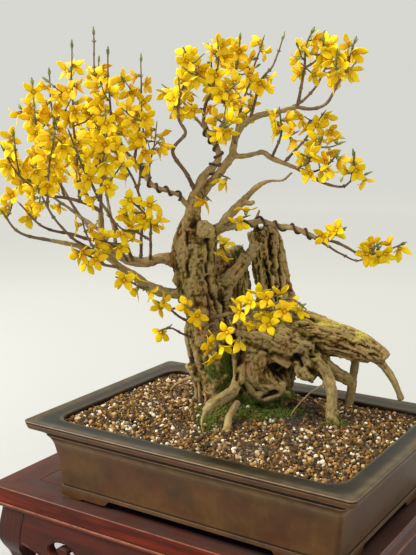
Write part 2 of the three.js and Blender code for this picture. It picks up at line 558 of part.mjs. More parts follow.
    stem([[37, -22, 314], [56, -30, 303], [71, -36, 296], [91, -42, 292], [103, -44, 300],
      [119, -46, 307]],
      { thick: [2.2, 0.9], shoots: 2, reach: [20, 30], lift: 0.9, flowered: [0.7, 1] }),
    stem([[37, -22, 314], [54, -44, 311], [68, -60, 318], [80, -68, 332]],
      { thick: [1.5, 0.9], shoots: 1, reach: [16, 24], lift: 0.2, flowered: [0.3, 1] }),
  ] },
  shoulder_front: { seed: 135, stems: [
    stem([[-55, -4, 241], [-45, -26, 249], [-33, -38, 255], [-24, -44, 258]],
      { thick: [1.6, 0.9], shoots: 1, reach: [12, 18], lift: 0.1, flowered: [0.55, 1] }),
  ] },
  crotch_bloom: { seed: 83, stems: [
    stem([[-81, -2, 292], [-76, -20, 283], [-70, -28, 277]],
      { thick: [1.4, 0.9], shoots: 0, reach: [10, 16], lift: 0.4, flowered: [0.5, 1] }),
  ] },
  under_crown_bloom: { seed: 43, stems: [
    stem([[-58, 12, 307], [-52, -4, 304], [-46, -14, 302]],
      { thick: [1.3, 0.9], shoots: 0, reach: [10, 16], lift: 0.4, flowered: [0.6, 1] }),
  ] },
  long_right: { seed: 169, stems: [
    stem([[63, -18, 226], [86, -24, 222], [100, -30, 215], [117, -36, 208], [141, -42, 211],
      [164, -46, 221]],
      { thick: [2.2, 0.9], shoots: 4, reach: [16, 26], lift: 0.4, flowered: [0.55, 1] }),
    stem([[63, -18, 226], [81, 2, 212], [98, 14, 202], [120, 20, 190], [141, 20, 199]],
      { thick: [1.8, 0.9], shoots: 1, reach: [14, 22], lift: 0.6, flowered: [0.85, 1] }),
    stem([[63, -18, 226], [70, -34, 233], [79, -44, 232], [90, -50, 240]],
      { thick: [1.6, 0.9], shoots: 1, reach: [12, 18], lift: 0.5, flowered: [0.35, 1] }),
  ] },
  low_front_branch: { seed: 28, stems: [
    stem([[-69, -28, 128], [-49, -58, 139], [-29, -84, 149], [-3, -98, 154], [20, -106, 151]],
      { thick: [2.8, 1], shoots: 6, reach: [18, 28], lift: 0, flowered: [0.3, 1] }),
    stem([[-29, -84, 149], [-20, -96, 162], [-6, -106, 170], [8, -112, 172]],
      { thick: [1.6, 0.9], shoots: 3, reach: [14, 22], lift: 0.1, flowered: [0.25, 1] }),
    stem([[-3, -98, 154], [12, -100, 165], [26, -104, 166], [38, -112, 158]],
      { thick: [1.6, 0.9], shoots: 3, reach: [14, 22], lift: 0, flowered: [0.25, 1] }),
    stem([[-49, -58, 139], [-47, -76, 134], [-41, -90, 128], [-36, -100, 118]],
      { thick: [1.5, 0.9], shoots: 2, reach: [14, 20], lift: 0, flowered: [0.3, 1] }),
    stem([[-29, -84, 149], [-20, -94, 141], [-10, -102, 139], [2, -106, 136]],
      { thick: [1.5, 0.9], shoots: 1, reach: [14, 20], lift: 0, flowered: [0.3, 1] }),
  ] },
  low_front_left: { seed: 10, stems: [
    stem([[-77, -26, 122], [-79, -54, 134], [-89, -66, 144], [-100, -70, 153]],
      { thick: [1.8, 0.9], shoots: 2, reach: [14, 22], lift: 0.1, flowered: [0.4, 1] }),
  ] },
  low_front_drop: { seed: 104, stems: [
    stem([[-70, -24, 118], [-59, -50, 110], [-65, -62, 100], [-77, -66, 89]],
      { thick: [1.6, 0.9], shoots: 2, reach: [14, 20], lift: 0, flowered: [0.3, 1] }),
  ] },
  behind_trunk: { seed: 47, stems: [
    stem([[-78, 0, 241], [-67, 18, 226], [-57, 14, 216], [-50, -20, 210]],
      { thick: [1.6, 0.9], shoots: 1, reach: [12, 18], lift: 0, flowered: [0.6, 1] }),
  ] },
};

// Points along a line, for measuring how near something else comes to it.
function samplesOf(curve, count) {
  return Array.from({ length: count + 1 }, (_, step) => curve.getPoint(step / count));
}

// A side shoot: a short, slightly sagging and rising line from a place on its stem.
function shootCurve(base, { reach, lift }, turnStart, draw) {
  const turn = turnStart + 1.2 * draw();
  const rise = lift + 0.25 * (draw() - 0.5);
  const flat = Math.sqrt(Math.max(0.05, 1 - rise * rise));
  const heading = new THREE.Vector3(Math.cos(turn) * flat, Math.sin(turn) * flat, rise);
  heading.normalize();
  const span = reach[0] + (reach[1] - reach[0]) * draw();
  const middle = base.clone().addScaledVector(heading, span / 2);
  middle.z -= 0.06 * span;
  const tip = base.clone().addScaledVector(heading, span);
  tip.z += 0.08 * span;
  return new THREE.CatmullRomCurve3([base, middle, tip], false, 'catmullrom', 0.5);
}

// A line that carries shoots and blooms, with places along it to keep clear of.
function flowerLine(curve, radii, flowered) {
  const places = samplesOf(curve, Math.ceil(lengthOf(curve) / 4));
  return { curve, radii, flowered, places, radius: Math.max(...radii), shoots: [] };
}

// Side shoots along a stem, each kept where it has room between what stands already.
function addShoots(line, { shoots, reach, lift, thick }, order, draw, standing) {
  const { curve: stemCurve, flowered: [from] } = line;
  for (let shoot = 0; shoot < shoots; shoot++) {
    const share = from + (0.95 - from) * (shoot + 0.6 * draw()) / shoots;
    const base = stemCurve.getPoint(share);
    const curve = shootCurve(base, { reach, lift }, 2.4 * shoot + order, draw);
    const samples = samplesOf(curve, 6);
    const heading = samples[2].clone().sub(base).normalize();
    const steep = Math.abs(heading.dot(stemCurve.getTangent(share))) > 0.85;
    const nearLine = standing.lines.some((other) => samples.slice(other === line ? 3 : 1)
      .some((place) => other.places.some((theirs) => place.distanceTo(theirs) < SHOOT_ROOM)));
    const nearLimb = standing.limbs.some(({ middle, radius }) => samples.slice(2)
      .some((place) => place.distanceTo(middle) < radius + 3));
    const nearBloom = standing.blooms.some(({ throat, faces }) => samples
      .some((place) => place.distanceTo(throat) < PETAL_REACH + 4 && distanceTo(faces, place) < 2));
    if (!steep && !nearLine && !nearLimb && !nearBloom) {
      const grown = flowerLine(curve, [thick[1] + 0.3, thick[1] * 0.8], [0.3, 1]);
      standing.lines.push(grown);
      line.shoots.push({ share, heading, line: grown });
    }
  }
}

// Places along the limbs that blooms keep clear of, with the limb's radius there.
function limbPlaces() {
  return Object.values(LIMBS).flatMap((points) => {
    const curve = curveThrough(points);
    const radii = points.map((point) => point[3]);
    const steps = Math.max(2, Math.round(lengthOf(curve) / 6));
    return samplesOf(curve, steps).map((middle, step) => ({
      middle,
      radius: radiusAt(radii, step / steps),
    }));
  });
}

// The two directions across a bloom's mouth, turning left seen from its front.
function mouthOf(facing) {
  const right = new THREE.Vector3(0.1, 0.2, 1).cross(facing).normalize();
  return { right, up: facing.clone().cross(right) };
}

// Corners of one open bloom: four pointed petals whose tips reach forward round a flat throat.
function rimOf({ throat, facing, spin }, margin = 0) {
  const { right, up } = mouthOf(facing);
  return Array.from({ length: 8 }, (_, point) => {
    const tip = point % 2 === 0;
    const angle = spin + point * Math.PI / 4;
    const radius = (tip ? PETAL_REACH : NOTCH_REACH) + margin;
    return throat.clone()
      .addScaledVector(right, radius * Math.cos(angle))
      .addScaledVector(up, radius * Math.sin(angle))
      .addScaledVector(facing, (tip ? PETAL_LIFT : 0) + margin / 2);
  });
}

// The bloom's faces, as corners of its rim and of the three-cornered heel it narrows back to.
function bloomFaces(rim, heel, heelPlaces, { facing, spin }) {
  const { right, up } = mouthOf(facing);
  const [a, b, c] = heelPlaces;
  const centre = a.clone().add(b).add(c).divideScalar(3);
  const angles = heelPlaces.map((place) => {
    const out = place.clone().sub(centre);
    return Math.atan2(out.dot(up), out.dot(right)) - spin;
  });
  const heelAt = (point) => {
    const nearness = angles.map((angle) => Math.cos(angle - point * Math.PI / 4));
    return heel[nearness.indexOf(Math.max(...nearness))];
  };
  const faces = [[rim[1], rim[3], rim[5]], [rim[1], rim[5], rim[7]]];
  for (let point = 0; point < 8; point++) {
    const next = (point + 1) % 8;
    faces.push([rim[next], rim[point], heelAt(point)]);
    if (heelAt(point) !== heelAt(next)) {
      faces.push([rim[next], heelAt(point), heelAt(next)]);
    }
    if (point % 2 === 0) {
      faces.push([rim[point], rim[next], rim[(point + 7) % 8]]);
    }
  }
  return faces;
}

// The least distance from a place to a set of faces.
function distanceTo(faces, place) {
  const nearest = new THREE.Vector3();
  return Math.min(...faces.map(([a, b, c]) => new THREE.Triangle(a, b, c)
    .closestPointToPoint(place, nearest).distanceTo(place)));
}

// Whether an edge of one set of faces goes through a face of the other.
function crosses(these, those) {
  const ray = new THREE.Ray();
  const hit = new THREE.Vector3();
  const pierced = (edges, faces) => edges.some((face) => face.some((from, corner) => {
    const to = face[(corner + 1) % 3];
    ray.origin.copy(from);
    ray.direction.subVectors(to, from);
    const length = ray.direction.length();
    ray.direction.divideScalar(length);
    return faces.some(([a, b, c]) => ray.intersectTriangle(a, b, c, false, hit)
      && hit.distanceTo(from) < length);
  }));
  return pierced(these, those) || pierced(those, these);
}

// Whether a bloom comes too near a line, leaving out the stretch that it grows from.
function caught({ line, throat, node, faces }, lines) {
  return lines.some((other) => other.places.some((place) =>
    place.distanceTo(throat) < PETAL_REACH + 3
    && (other !== line || place.distanceTo(node) > JOINT_ROOM)
    && distanceTo(faces, place) < other.radius + 0.5));
}

// Whether a bloom runs into one that stands already.
function touching({ throat, faces }, blooms) {
  return blooms.some((one) => one.throat.distanceTo(throat) < 2 * PETAL_REACH + 3
    && crosses(faces, one.faces));
}

// Blooms stand along a line in whorls of up to three, a third of a turn apart. Each is kept where
// it clears the limbs, the lines and the blooms before it.
function addBlooms(line, draw, { lines, limbs, blooms }) {
  const { curve, flowered: [from, to], shoots } = line;
  const length = lengthOf(curve);
  const whorls = Math.max(1, Math.round(length * (to - from) / BLOOM_SPACING));
  const joints = shoots.map((shoot) => shoot.share);
  for (let whorl = 0; whorl < whorls; whorl++) {
    const even = from + (to - from) * (whorl + 0.5 + 0.3 * (draw() - 0.5)) / whorls;
    const crowding = (place) => joints
      .find((joint) => Math.abs(joint - place) * length < JOINT_ROOM - 0.1);
    const near = crowding(even);
    const share = Math.min(near ? near + JOINT_ROOM / length : even, 1 - BAND / length);
    if (crowding(share)) {
      continue;
    }
    joints.push(share);
    const node = curve.getPoint(share);
    const along = curve.getTangent(share);
    const across = along.clone().cross(new THREE.Vector3(0.3, 0.2, 1)).normalize();
    const other = along.clone().cross(across);
    const turn = whorl * Math.PI / 2 + 1.3 * draw();

    const bloomFacing = (facing) => {
      const throat = node.clone().addScaledVector(facing, BLOOM_DEPTH);
      const { right, up } = mouthOf(facing);
      const spin = Math.atan2(along.dot(up), along.dot(right)) + Math.PI / 4 + 0.3 * (draw() - 0.5);
      const bloom = { line, share, node, throat, facing, spin };
      const heel = [0, 1, 2].map((corner) => node.clone()
        .addScaledVector(right, Math.cos(corner * THIRD))
        .addScaledVector(up, Math.sin(corner * THIRD)));
      const rim = rimOf(bloom, 0.5);
      bloom.faces = bloomFaces(rim, heel, heel, bloom);
      const buried = limbs.some(({ middle, radius }) => throat.distanceTo(middle) < radius + 6
        || rim.some((corner) => corner.distanceTo(middle) < radius));
      const fits = !buried && !caught(bloom, lines) && !touching(bloom, blooms);
      if (fits) {
        blooms.push(bloom);
      }
      return fits;
    };

    for (let attempt = 0; attempt < ATTEMPTS; attempt++) {
      const angle = turn + 2.2 * attempt;
      const facing = across.clone().multiplyScalar(Math.cos(angle))
        .addScaledVector(other, Math.sin(angle))
        .addScaledVector(along, 0.25 * draw());
      facing.z -= 0.15 + 0.25 * draw();
      facing.normalize();
      if (bloomFacing(facing)) {
        bloomFacing(facing.clone().applyAxisAngle(along, THIRD));
        bloomFacing(facing.clone().applyAxisAngle(along, -THIRD));
        break;
      }
    }
  }
}

// One stem with its shoots and blooms, grown as a single skin of three-sided rings: a shoot or a
// bloom takes the place of one face of the ring pair at its joint.
function grownSolid(mainLine, blooms, margin = 0) {
  const corners = [];
  const faces = [];

  function addRing(curve, share, axis, radius) {
    const along = curve.getTangent(share);
    const out = axis.clone().addScaledVector(along, -axis.dot(along)).normalize();
    const side = along.clone().cross(out);
    const middle = curve.getPoint(share);
    return [0, 1, 2].map((corner) => corners.push(middle.clone()
      .addScaledVector(out, radius * Math.cos(corner * THIRD))
      .addScaledVector(side, radius * Math.sin(corner * THIRD))) - 1);
  }

  // The faces between two rings, with the shorter diagonal on each side.
  function addBand(low, high) {
    const reach = (from, to) => corners[from].distanceTo(corners[to]);
    const sides = [0, 1, 2].map((side) => {
      const next = (side + 1) % 3;
      return reach(low[side], high[next]) > reach(low[next], high[side]) + 0.01
        ? [[low[side], low[next], high[side]], [low[next], high[next], high[side]]]
        : [[low[side], low[next], high[next]], [low[side], high[next], high[side]]];
    });
    faces.push(...sides.flat());
    return sides.map(([face]) => face);
  }

  // The corner direction, nearest to the one before, that turns one of the three sides to a heading.
  function turnedTo(axis, heading, along) {
    const back = heading.clone().addScaledVector(along, -heading.dot(along)).normalize().negate();
    const ways = [0, THIRD, -THIRD].map((angle) => back.clone().applyAxisAngle(along, angle));
    return ways.reduce((best, way) => (way.dot(axis) > best.dot(axis) ? way : best));
  }

  // The free face that looks most nearly along a heading is taken out and given back.
  function takeFace(free, heading) {
    const looks = free.map((face) => {
      const [a, b, c] = face.map((corner) => corners[corner]);
      return new THREE.Triangle(a, b, c).getNormal(new THREE.Vector3()).dot(heading);
    });
    const [face] = free.splice(looks.indexOf(Math.max(...looks)), 1);
    faces.splice(faces.indexOf(face), 1);
    return face;
  }

  function growBloom(face, bloom) {
    const rim = rimOf(bloom, margin).map((corner) => corners.push(corner) - 1);
    faces.push(...bloomFaces(rim, face, face.map((corner) => corners[corner]), bloom));
  }

  function growLine({ curve, radii, shoots }, ownBlooms, face) {
    const length = lengthOf(curve);
    const joints = [];
    for (const bloom of ownBlooms) {
      const pair = joints.find(({ share }) => share === bloom.share);
      if (pair) {
        pair.blooms.push(bloom);
      } else {
        joints.push({ share: bloom.share, blooms: [bloom], shoot: null });
      }
    }
    for (const shoot of shoots) {
      joints.push({ share: shoot.share, blooms: [], shoot });
    }
    joints.sort((one, other) => one.share - other.share);
    let share = face ? SHOOT_START / length : 0;
    let ring = face;
    let axis = new THREE.Vector3(0.2, 1, -0.3);
    if (face) {
      const [a, b, c] = face.map((corner) => corners[corner]);
      axis = a.clone().multiplyScalar(2).sub(b).sub(c);
    }
    const advance = (place) => {
      const to = Math.min(1, place);
      const next = addRing(curve, to, axis, radiusAt(radii, to) + margin);
      axis = corners[next[0]].clone().sub(curve.getPoint(to));
      const free = ring ? addBand(ring, next) : [];
      if (!ring) {
        faces.push([next[0], next[2], next[1]]);
      }
      ring = next;
      return free;
    };
    advance(share);
    for (const joint of joints) {
      const low = Math.max(joint.share - BAND / 2 / length, share + 2.5 / length);
      const gap = (low - share) * length;
      const fills = Math.floor(gap / STEM_STEP);
      const start = share;
      for (let fill = 1; fill <= fills; fill++) {
        advance(start + (low - start) * fill / (fills + 1));
      }
      const heading = joint.shoot ? joint.shoot.heading : joint.blooms[0].facing;
      axis = turnedTo(axis, heading, curve.getTangent(Math.min(1, low)));
      advance(low);
      share = low + BAND / length;
      const free = advance(share);
      for (const bloom of joint.blooms) {
        growBloom(takeFace(free, bloom.facing), bloom);
      }
      if (joint.shoot) {
        const shootFace = takeFace(free, joint.shoot.heading);
        const mine = blooms.filter((bloom) => bloom.line === joint.shoot.line);
        const [heldRing, heldAxis, heldShare] = [ring, axis, share];
        growLine(joint.shoot.line, mine, shootFace);
        [ring, axis, share] = [heldRing, heldAxis, heldShare];
      }
    }
    if ((1 - share) * length > 1) {
      advance(1);
    }
    faces.push([...ring]);
  }

  growLine(mainLine, blooms.filter((bloom) => bloom.line === mainLine), null);
  return solidOf(skin(corners, faces));
}

// Training wire: a round wire wound about a limb from one share of its length to another, clear of
// the limb's lobes.
const LOBED_REACH = 1.3;

function wireSolid(points, { from, to, turns, start }, margin = 0) {
  const curve = curveThrough(points);
  const radii = points.map((point) => point[3]);
  const frameCount = 60;
  const frames = curve.computeFrenetFrames(frameCount, false);
  const perTurn = 6;
  const steps = turns * perTurn;
  const places = [];
  for (let step = 0; step <= steps; step++) {
    const share = from + (to - from) * step / steps;
    const t = curve.getUtoTmapping(share);
    const frame = Math.round(share * frameCount);
    const angle = start + (step / perTurn) * 2 * Math.PI;
    const away = radiusAt(radii, t) * LOBED_REACH + WIRE_RADIUS + GAP;
    places.push(curve.getPoint(t)
      .addScaledVector(frames.normals[frame], away * Math.cos(angle))
      .addScaledVector(frames.binormals[frame], away * Math.sin(angle)));
  }
  const winding = new THREE.CatmullRomCurve3(places, false, 'catmullrom', 0.5);
  const radius = [WIRE_RADIUS, WIRE_RADIUS];
  return solidOf(branchGeometry(winding, radius, { sides: 3, steps, margin }));
}

const WIRES = {
  training_wire_left: { limb: LIMBS.fork_left_limb, from: 0.22, to: 0.92, turns: 5, start: 0 },
  training_wire_centre: { limb: LIMBS.centre_limb, from: 0.3, to: 0.88, turns: 5, start: 1 },
  training_wire_right: { limb: LIMBS.long_right_limb, from: 0.18, to: 0.95, turns: 5, start: 2 },
};

const bonsai = new THREE.Group();
const table = new THREE.Group();
const tree = new THREE.Group();
tree.position.copy(TREE_FOOT);
tree.rotation.z = TREE_TURN;
tree.updateMatrix();
bonsai.add(table, tree);

function piece(name, geometry, colour, roughness, parent = bonsai) {
  const material = new THREE.MeshStandardMaterial({ color: colour, roughness, metalness: 0 });
  const mesh = new THREE.Mesh(geometry, material);
  mesh.name = name;
  parent.add(mesh);
  return mesh;
}

// Wood: trunk, dead stump, root legs and main limbs, grown as one
const wood = largestBody(joined(Object.values(LIMBS).map((points) => limbSolid(points))));
const woodRoom = joined(Object.values(LIMBS).map((points) => limbSolid(points, GAP)));
piece('wood', geometryOf(wood), COLOURS.bark, 0.85, tree);

// Pot and soil, with the soil cut to the roots
const rootRoom = geometryOf(woodRoom).applyMatrix4(tree.matrix);
piece('pot', potGeometry(), COLOURS.stoneware, 0.6);
piece('soil', soilGeometry(solidOf(rootRoom)), COLOURS.soil, 0.95);

// Training wires, each clear of the limbs it crosses
let taken = woodRoom;
for (const [name, { limb, ...winding }] of Object.entries(WIRES)) {
  const wire = largestBody(wireSolid(limb, winding).subtract(taken));
  piece(name, geometryOf(wire), COLOURS.wire, 0.5, tree);
  taken = taken.add(wireSolid(limb, winding, GAP));
}

// Sprays: every later one keeps clear of what stands before it
const sprays = Object.entries(SPRAYS).map(([name, { seed, stems }]) => ({
  name,
  seed,
  habits: stems,
  lines: stems.map(({ points, thick, flowered }) => flowerLine(curveThrough(points), thick, flowered)),
}));
const standing = { lines: sprays.flatMap((spray) => spray.lines), limbs: limbPlaces(), blooms: [] };

function growSpray({ lines, habits, seed }, order) {
  const draw = drawFrom(1000 * seed + 37 * order);
  lines.forEach((line, place) => addShoots(line, habits[place], order, draw, standing));
  for (const line of lines) {
    addBlooms(line, draw, standing);
    line.shoots.forEach((shoot) => addBlooms(shoot.line, draw, standing));
  }
}
sprays.forEach(growSpray);
const { blooms } = standing;
for (const { name, lines: stems } of sprays) {
  const grown = joined(stems.map((line) => grownSolid(line, blooms)));
  piece(`spray_${name}`, geometryOf(largestBody(grown.subtract(taken))), COLOURS.petal, 0.6, tree);
  taken = taken.add(joined(stems.map((line) => grownSolid(line, blooms, GAP))));
}

// Table top: four mitred frame members round a loose panel
const FRAME_SECTION = [
  { out: 0, height: -1.5 },
  { out: 0, height: -15 },
  { out: -3, height: -17 },
  { out: -1, height: -20 },
  { out: -4, height: -27 },
  { out: -9, height: -FRAME_THICK },
  { out: -FRAME_WIDTH, height: -FRAME_THICK },
  { out: -FRAME_WIDTH, height: -0.3 },
  { out: -2, height: 0 },
];

function frameMember(length, width) {
  const half = GAP / 2;
  const ends = [-1, 1].map((sign) => FRAME_SECTION.map(({ out, height }) => new THREE.Vector3(
    sign * (length / 2 + out - half), -width / 2 - out, height,
  )));
  return loft(ends);
}

const tableTop = -POT_HEIGHT - GAP;
table.position.set(TABLE_OFFSET, 0, tableTop);
for (const [side, turn, length, width] of [
  ['front', 0, TABLE_LENGTH, TABLE_WIDTH],
  ['right', 1, TABLE_WIDTH, TABLE_LENGTH],
  ['back', 2, TABLE_LENGTH, TABLE_WIDTH],
  ['left', 3, TABLE_WIDTH, TABLE_LENGTH],
]) {
  const member = piece(`table_frame_${side}`, frameMember(length, width), COLOURS.rosewood, 0.35, table);
  member.rotation.z = turn * Math.PI / 2;
}
const PANEL_SECTION = [
  { inset: 0, height: -12 },
  { inset: 0, height: -1.2 },
  { inset: 1.5, height: 0 },
];
const panel = loft(PANEL_SECTION.map(({ inset, height }) => {
  const margin = 2 * (FRAME_WIDTH + GAP + inset);
  return roundedRing(TABLE_LENGTH - margin, TABLE_WIDTH - margin, 0.5, height, { perCorner: 2 });
}));
piece('table_panel', panel, COLOURS.rosewood, 0.35, table);

// Legs: square at the top, bowed out at the shoulder, drawn in and turned out again at the foot
const LEG_PROFILE = [
  { drop: FRAME_THICK + GAP, size: LEG_SIZE, out: 0 },
  { drop: 42, size: LEG_SIZE, out: 2 },
  { drop: 60, size: LEG_SIZE, out: 5 },
  { drop: 76, size: LEG_SIZE, out: 6 },
  { drop: 88, size: LEG_SIZE - 10, out: 2 },
  { drop: 102, size: LEG_SIZE - 18, out: -5 },
  { drop: 122, size: LEG_SIZE - 22, out: -8 },
  { drop: 134, size: LEG_SIZE - 18, out: -4 },
  { drop: 143, size: LEG_SIZE - 14, out: 0 },
  { drop: TABLE_HEIGHT, size: LEG_SIZE - 18, out: -2 },
];
const LEG_INSET = 9;

function legGeometry(signX, signY) {
  const rings = LEG_PROFILE.map(({ drop, size, out }) => {
    const ring = roundedRing(size, size, 4, -drop, { perCorner: 2 });
    const shift = out - LEG_INSET - size / 2;
    ring.forEach((point) => {
      point.x += signX * (TABLE_LENGTH / 2 + shift);
      point.y += signY * (TABLE_WIDTH / 2 + shift);
    });
    return ring;
  });
  return loft(rings.reverse());
}
for (const [name, signX, signY] of [
  ['front_left', -1, -1], ['front_right', 1, -1], ['back_right', 1, 1], ['back_left', -1, 1],
]) {
  piece(`table_leg_${name}`, legGeometry(signX, signY), COLOURS.rosewood, 0.4, table);
}

// Aprons: boards that lean out to the legs' shoulders, arched at the ends, with pierced scrolls
const SCROLL = { wide: 22, high: 12, bossWide: 10, bossHigh: 5, drop: 38, fromEnd: 69 };

// A scroll opening: a horseshoe of air round a boss that stands on a short neck.
function scrollHole(middle) {
  const point = (wide, high, degrees) => {
    const angle = THREE.MathUtils.degToRad(degrees);
    return new THREE.Vector2(middle + wide * Math.cos(angle), high * Math.sin(angle) - SCROLL.drop);
  };
  const sweep = [-60, -30, 0, 30, 60, 90, 120, 150, 180, 210, 240];
  const outer = sweep.map((degrees) => point(SCROLL.wide, SCROLL.high, degrees));
  const inner = sweep.map((degrees) => point(SCROLL.bossWide, SCROLL.bossHigh, degrees));
  return new THREE.Path([...outer, ...inner.reverse()]);
}

function apronGeometry(length) {
  const half = length / 2;
  const outline = new THREE.Shape();
  outline.moveTo(-half, 0);
  outline.lineTo(-half, -APRON_HEIGHT + 16);
  outline.quadraticCurveTo(-half + 24, -APRON_HEIGHT + 13, -half + 44, -APRON_HEIGHT);
  outline.lineTo(-20, -APRON_HEIGHT);
  outline.quadraticCurveTo(-7, -APRON_HEIGHT + 1, 0, -APRON_HEIGHT + 7);
  outline.quadraticCurveTo(7, -APRON_HEIGHT + 1, 20, -APRON_HEIGHT);
  outline.lineTo(half - 44, -APRON_HEIGHT);
  outline.quadraticCurveTo(half - 24, -APRON_HEIGHT + 13, half, -APRON_HEIGHT + 16);
  outline.lineTo(half, 0);
  const span = length - 2 * SCROLL.fromEnd;
  const spaces = Math.max(1, Math.round(span / SCROLL_PITCH));
  for (let place = 0; place <= spaces; place++) {
    outline.holes.push(scrollHole(span * (place / spaces - 0.5)));
  }
  const options = { depth: APRON_THICK, bevelEnabled: false, curveSegments: 4 };
  const geometry = new THREE.ExtrudeGeometry(outline, options);
  geometry.rotateX(Math.PI / 2);
  const lean = new THREE.Matrix4().makeShear(0, 0, 0, 0, 0, APRON_LEAN / APRON_HEIGHT);
  geometry.applyMatrix4(lean);
  geometry.translate(0, APRON_THICK, -FRAME_THICK - GAP);
  return geometry;
}
const apronInset = LEG_INSET;
const legRoom = 2 * (LEG_INSET + LEG_SIZE + GAP);
for (const [side, turn, length, width] of [
  ['front', 0, TABLE_LENGTH, TABLE_WIDTH],
  ['right', 1, TABLE_WIDTH, TABLE_LENGTH],
  ['back', 2, TABLE_LENGTH, TABLE_WIDTH],
  ['left', 3, TABLE_WIDTH, TABLE_LENGTH],
]) {
  const apron = apronGeometry(length - legRoom);
  apron.translate(0, -width / 2 + apronInset, 0);
  apron.rotateZ(turn * Math.PI / 2);
  piece(`table_apron_${side}`, apron, COLOURS.rosewood, 0.4, table);
}

// The origin goes under the middle of the whole, on the floor
bonsai.updateMatrixWorld(true);
const reach = new THREE.Box3().setFromObject(bonsai, true);
const middle = reach.getCenter(new THREE.Vector3());
bonsai.position.set(-middle.x, -middle.y, -reach.min.z);

export default bonsai;
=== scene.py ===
import math
from collections import namedtuple

import bmesh
import bpy
import numpy as np
from mathutils import Matrix, Vector, kdtree, noise
from mathutils.bvhtree import BVHTree


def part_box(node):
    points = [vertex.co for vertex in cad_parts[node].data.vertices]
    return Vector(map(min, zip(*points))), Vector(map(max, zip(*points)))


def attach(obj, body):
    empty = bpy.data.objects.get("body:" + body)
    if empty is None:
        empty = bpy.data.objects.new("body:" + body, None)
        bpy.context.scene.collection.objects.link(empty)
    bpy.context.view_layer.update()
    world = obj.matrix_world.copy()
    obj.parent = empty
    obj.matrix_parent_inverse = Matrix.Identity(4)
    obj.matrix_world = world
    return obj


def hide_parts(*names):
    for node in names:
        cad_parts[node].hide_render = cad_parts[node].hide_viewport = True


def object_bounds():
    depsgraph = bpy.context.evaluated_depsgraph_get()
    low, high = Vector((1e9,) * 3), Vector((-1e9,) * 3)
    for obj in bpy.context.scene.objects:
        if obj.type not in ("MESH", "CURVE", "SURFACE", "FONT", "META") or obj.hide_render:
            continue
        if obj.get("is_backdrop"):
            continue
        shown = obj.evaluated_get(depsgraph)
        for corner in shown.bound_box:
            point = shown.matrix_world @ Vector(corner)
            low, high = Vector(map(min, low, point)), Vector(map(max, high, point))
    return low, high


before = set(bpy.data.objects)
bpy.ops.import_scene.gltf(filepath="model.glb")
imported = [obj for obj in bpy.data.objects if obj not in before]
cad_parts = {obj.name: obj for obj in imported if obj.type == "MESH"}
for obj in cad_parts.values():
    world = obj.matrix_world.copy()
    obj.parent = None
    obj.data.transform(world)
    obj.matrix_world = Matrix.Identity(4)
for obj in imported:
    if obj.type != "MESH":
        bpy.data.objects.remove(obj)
cad_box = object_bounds()

# Display stand
# A low table of red-brown rosewood: four mitred frame members round a loose panel, four bowed
# legs, and pierced aprons between them. Sawn, moulded with planes, stained and varnished.
pot_low, pot_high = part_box("pot")
RIM_MIDDLE = np.array([(pot_low.x + pot_high.x) / 2, (pot_low.y + pot_high.y) / 2, pot_high.z])
STAND_LENGTH = 522
STAND_WIDTH = 304
STAND_LEFT = -45
STAND_TOP = -107.35
MEMBER_WIDTH = 46
JOINT_GAP = 0.35
MITRE_GAP = JOINT_GAP / 2
# How far out from the table's edge and how far down: a hollow fascia, a quirk and a bead
MEMBER_SECTION = [
    (-1.6, 0), (-0.7, -0.12), (-0.2, -0.5), (0, -1.2), (-0.2, -3), (-0.9, -7), (-1.2, -11),
    (-0.9, -15), (-0.2, -19.2), (-0.3, -20.4), (-1.2, -20.9), (-2.9, -21.1), (-3.2, -21.7),
    (-2.6, -22.3), (-1.2, -22.7), (-0.5, -23.6), (-0.3, -25.2), (-0.9, -27.0), (-2.2, -28.5),
    (-4.4, -29.5), (-9, -30), (-46, -30), (-46, -1.4), (-45.6, -0.5), (-44.6, 0),
]
# Edges painted pale between these heights: paled by hands and cloths, with a painted highlight
HIGHLIT_AND_RUBBED_HEIGHTS = [(-0.6, -0.1), (-23.7, -22.5)]
HIGHLIT_AND_RUBBED = 0.9
PANEL_SECTION = [(0, -12), (0, -2.0), (0.5, -0.8), (1.6, -0.1), (2.4, 0)]
# How far under the top each leg ring is, its size and how far it leans out
LEG_SHAPE = [
    (30.35, 44, 0), (42, 44, 2), (60, 44, 5), (76, 44, 6), (88, 34, 2), (102, 26, -5),
    (122, 22, -8), (134, 26, -4), (143, 30, 0), (150, 26, -2),
]
LEG_INSET = 9
LEG_SIDES = 56
LEG_RINGS = 44
# A leg's plan is a circle raised to a power, near square on the inner sides and rounder outside
INNER_POWER, OUTER_POWER = 0.04, 0.28
# How far the legs and aprons are darkened: old dull dirt, with painted shade under the top
LEG_SHADE_AND_GRIME, APRON_SHADE_AND_GRIME = 0.75, 0.6
APRON_THICK = 12
APRON_ARRIS = 0.8
APRON_SLICE = 4
# Beads: their radii, and how far they lie inside the apron's foot and outside each scroll
FOOT_BEAD, SCROLL_BEAD = 1.4, 1.1
FOOT_BEAD_UP, SCROLL_BEAD_OUT = 3, 2.6
APRON_DROP = 62
SCROLL_WIDE, SCROLL_HIGH, SCROLL_DROP = 22, 12, 38
BOSS_WIDE, BOSS_HIGH = 9.6, 4.8
SCROLL_FROM_END = 69
SCROLL_PITCH = 69
SIDES = ["front", "right", "back", "left"]
# Wood grain runs along a board: its texture is drawn out to eight times its width
ALONG_BOARD = [0.00012, 0.001, 0.001]
# The painted shadow under the pot on the panel: half length and half width in metres,
# where it ends and where it is full
POT_SHADOW_LENGTH = (0.199, 0.190)
POT_SHADOW_WIDTH = (0.131, 0.121)


def linear(colour):
    """An sRGB hex colour as linear red, green, blue and alpha."""
    shares = [int(colour[place:place + 2], 16) / 255 for place in (1, 3, 5)]
    return [*(s / 12.92 if s <= 0.04045 else ((s + 0.055) / 1.055) ** 2.4 for s in shares), 1]


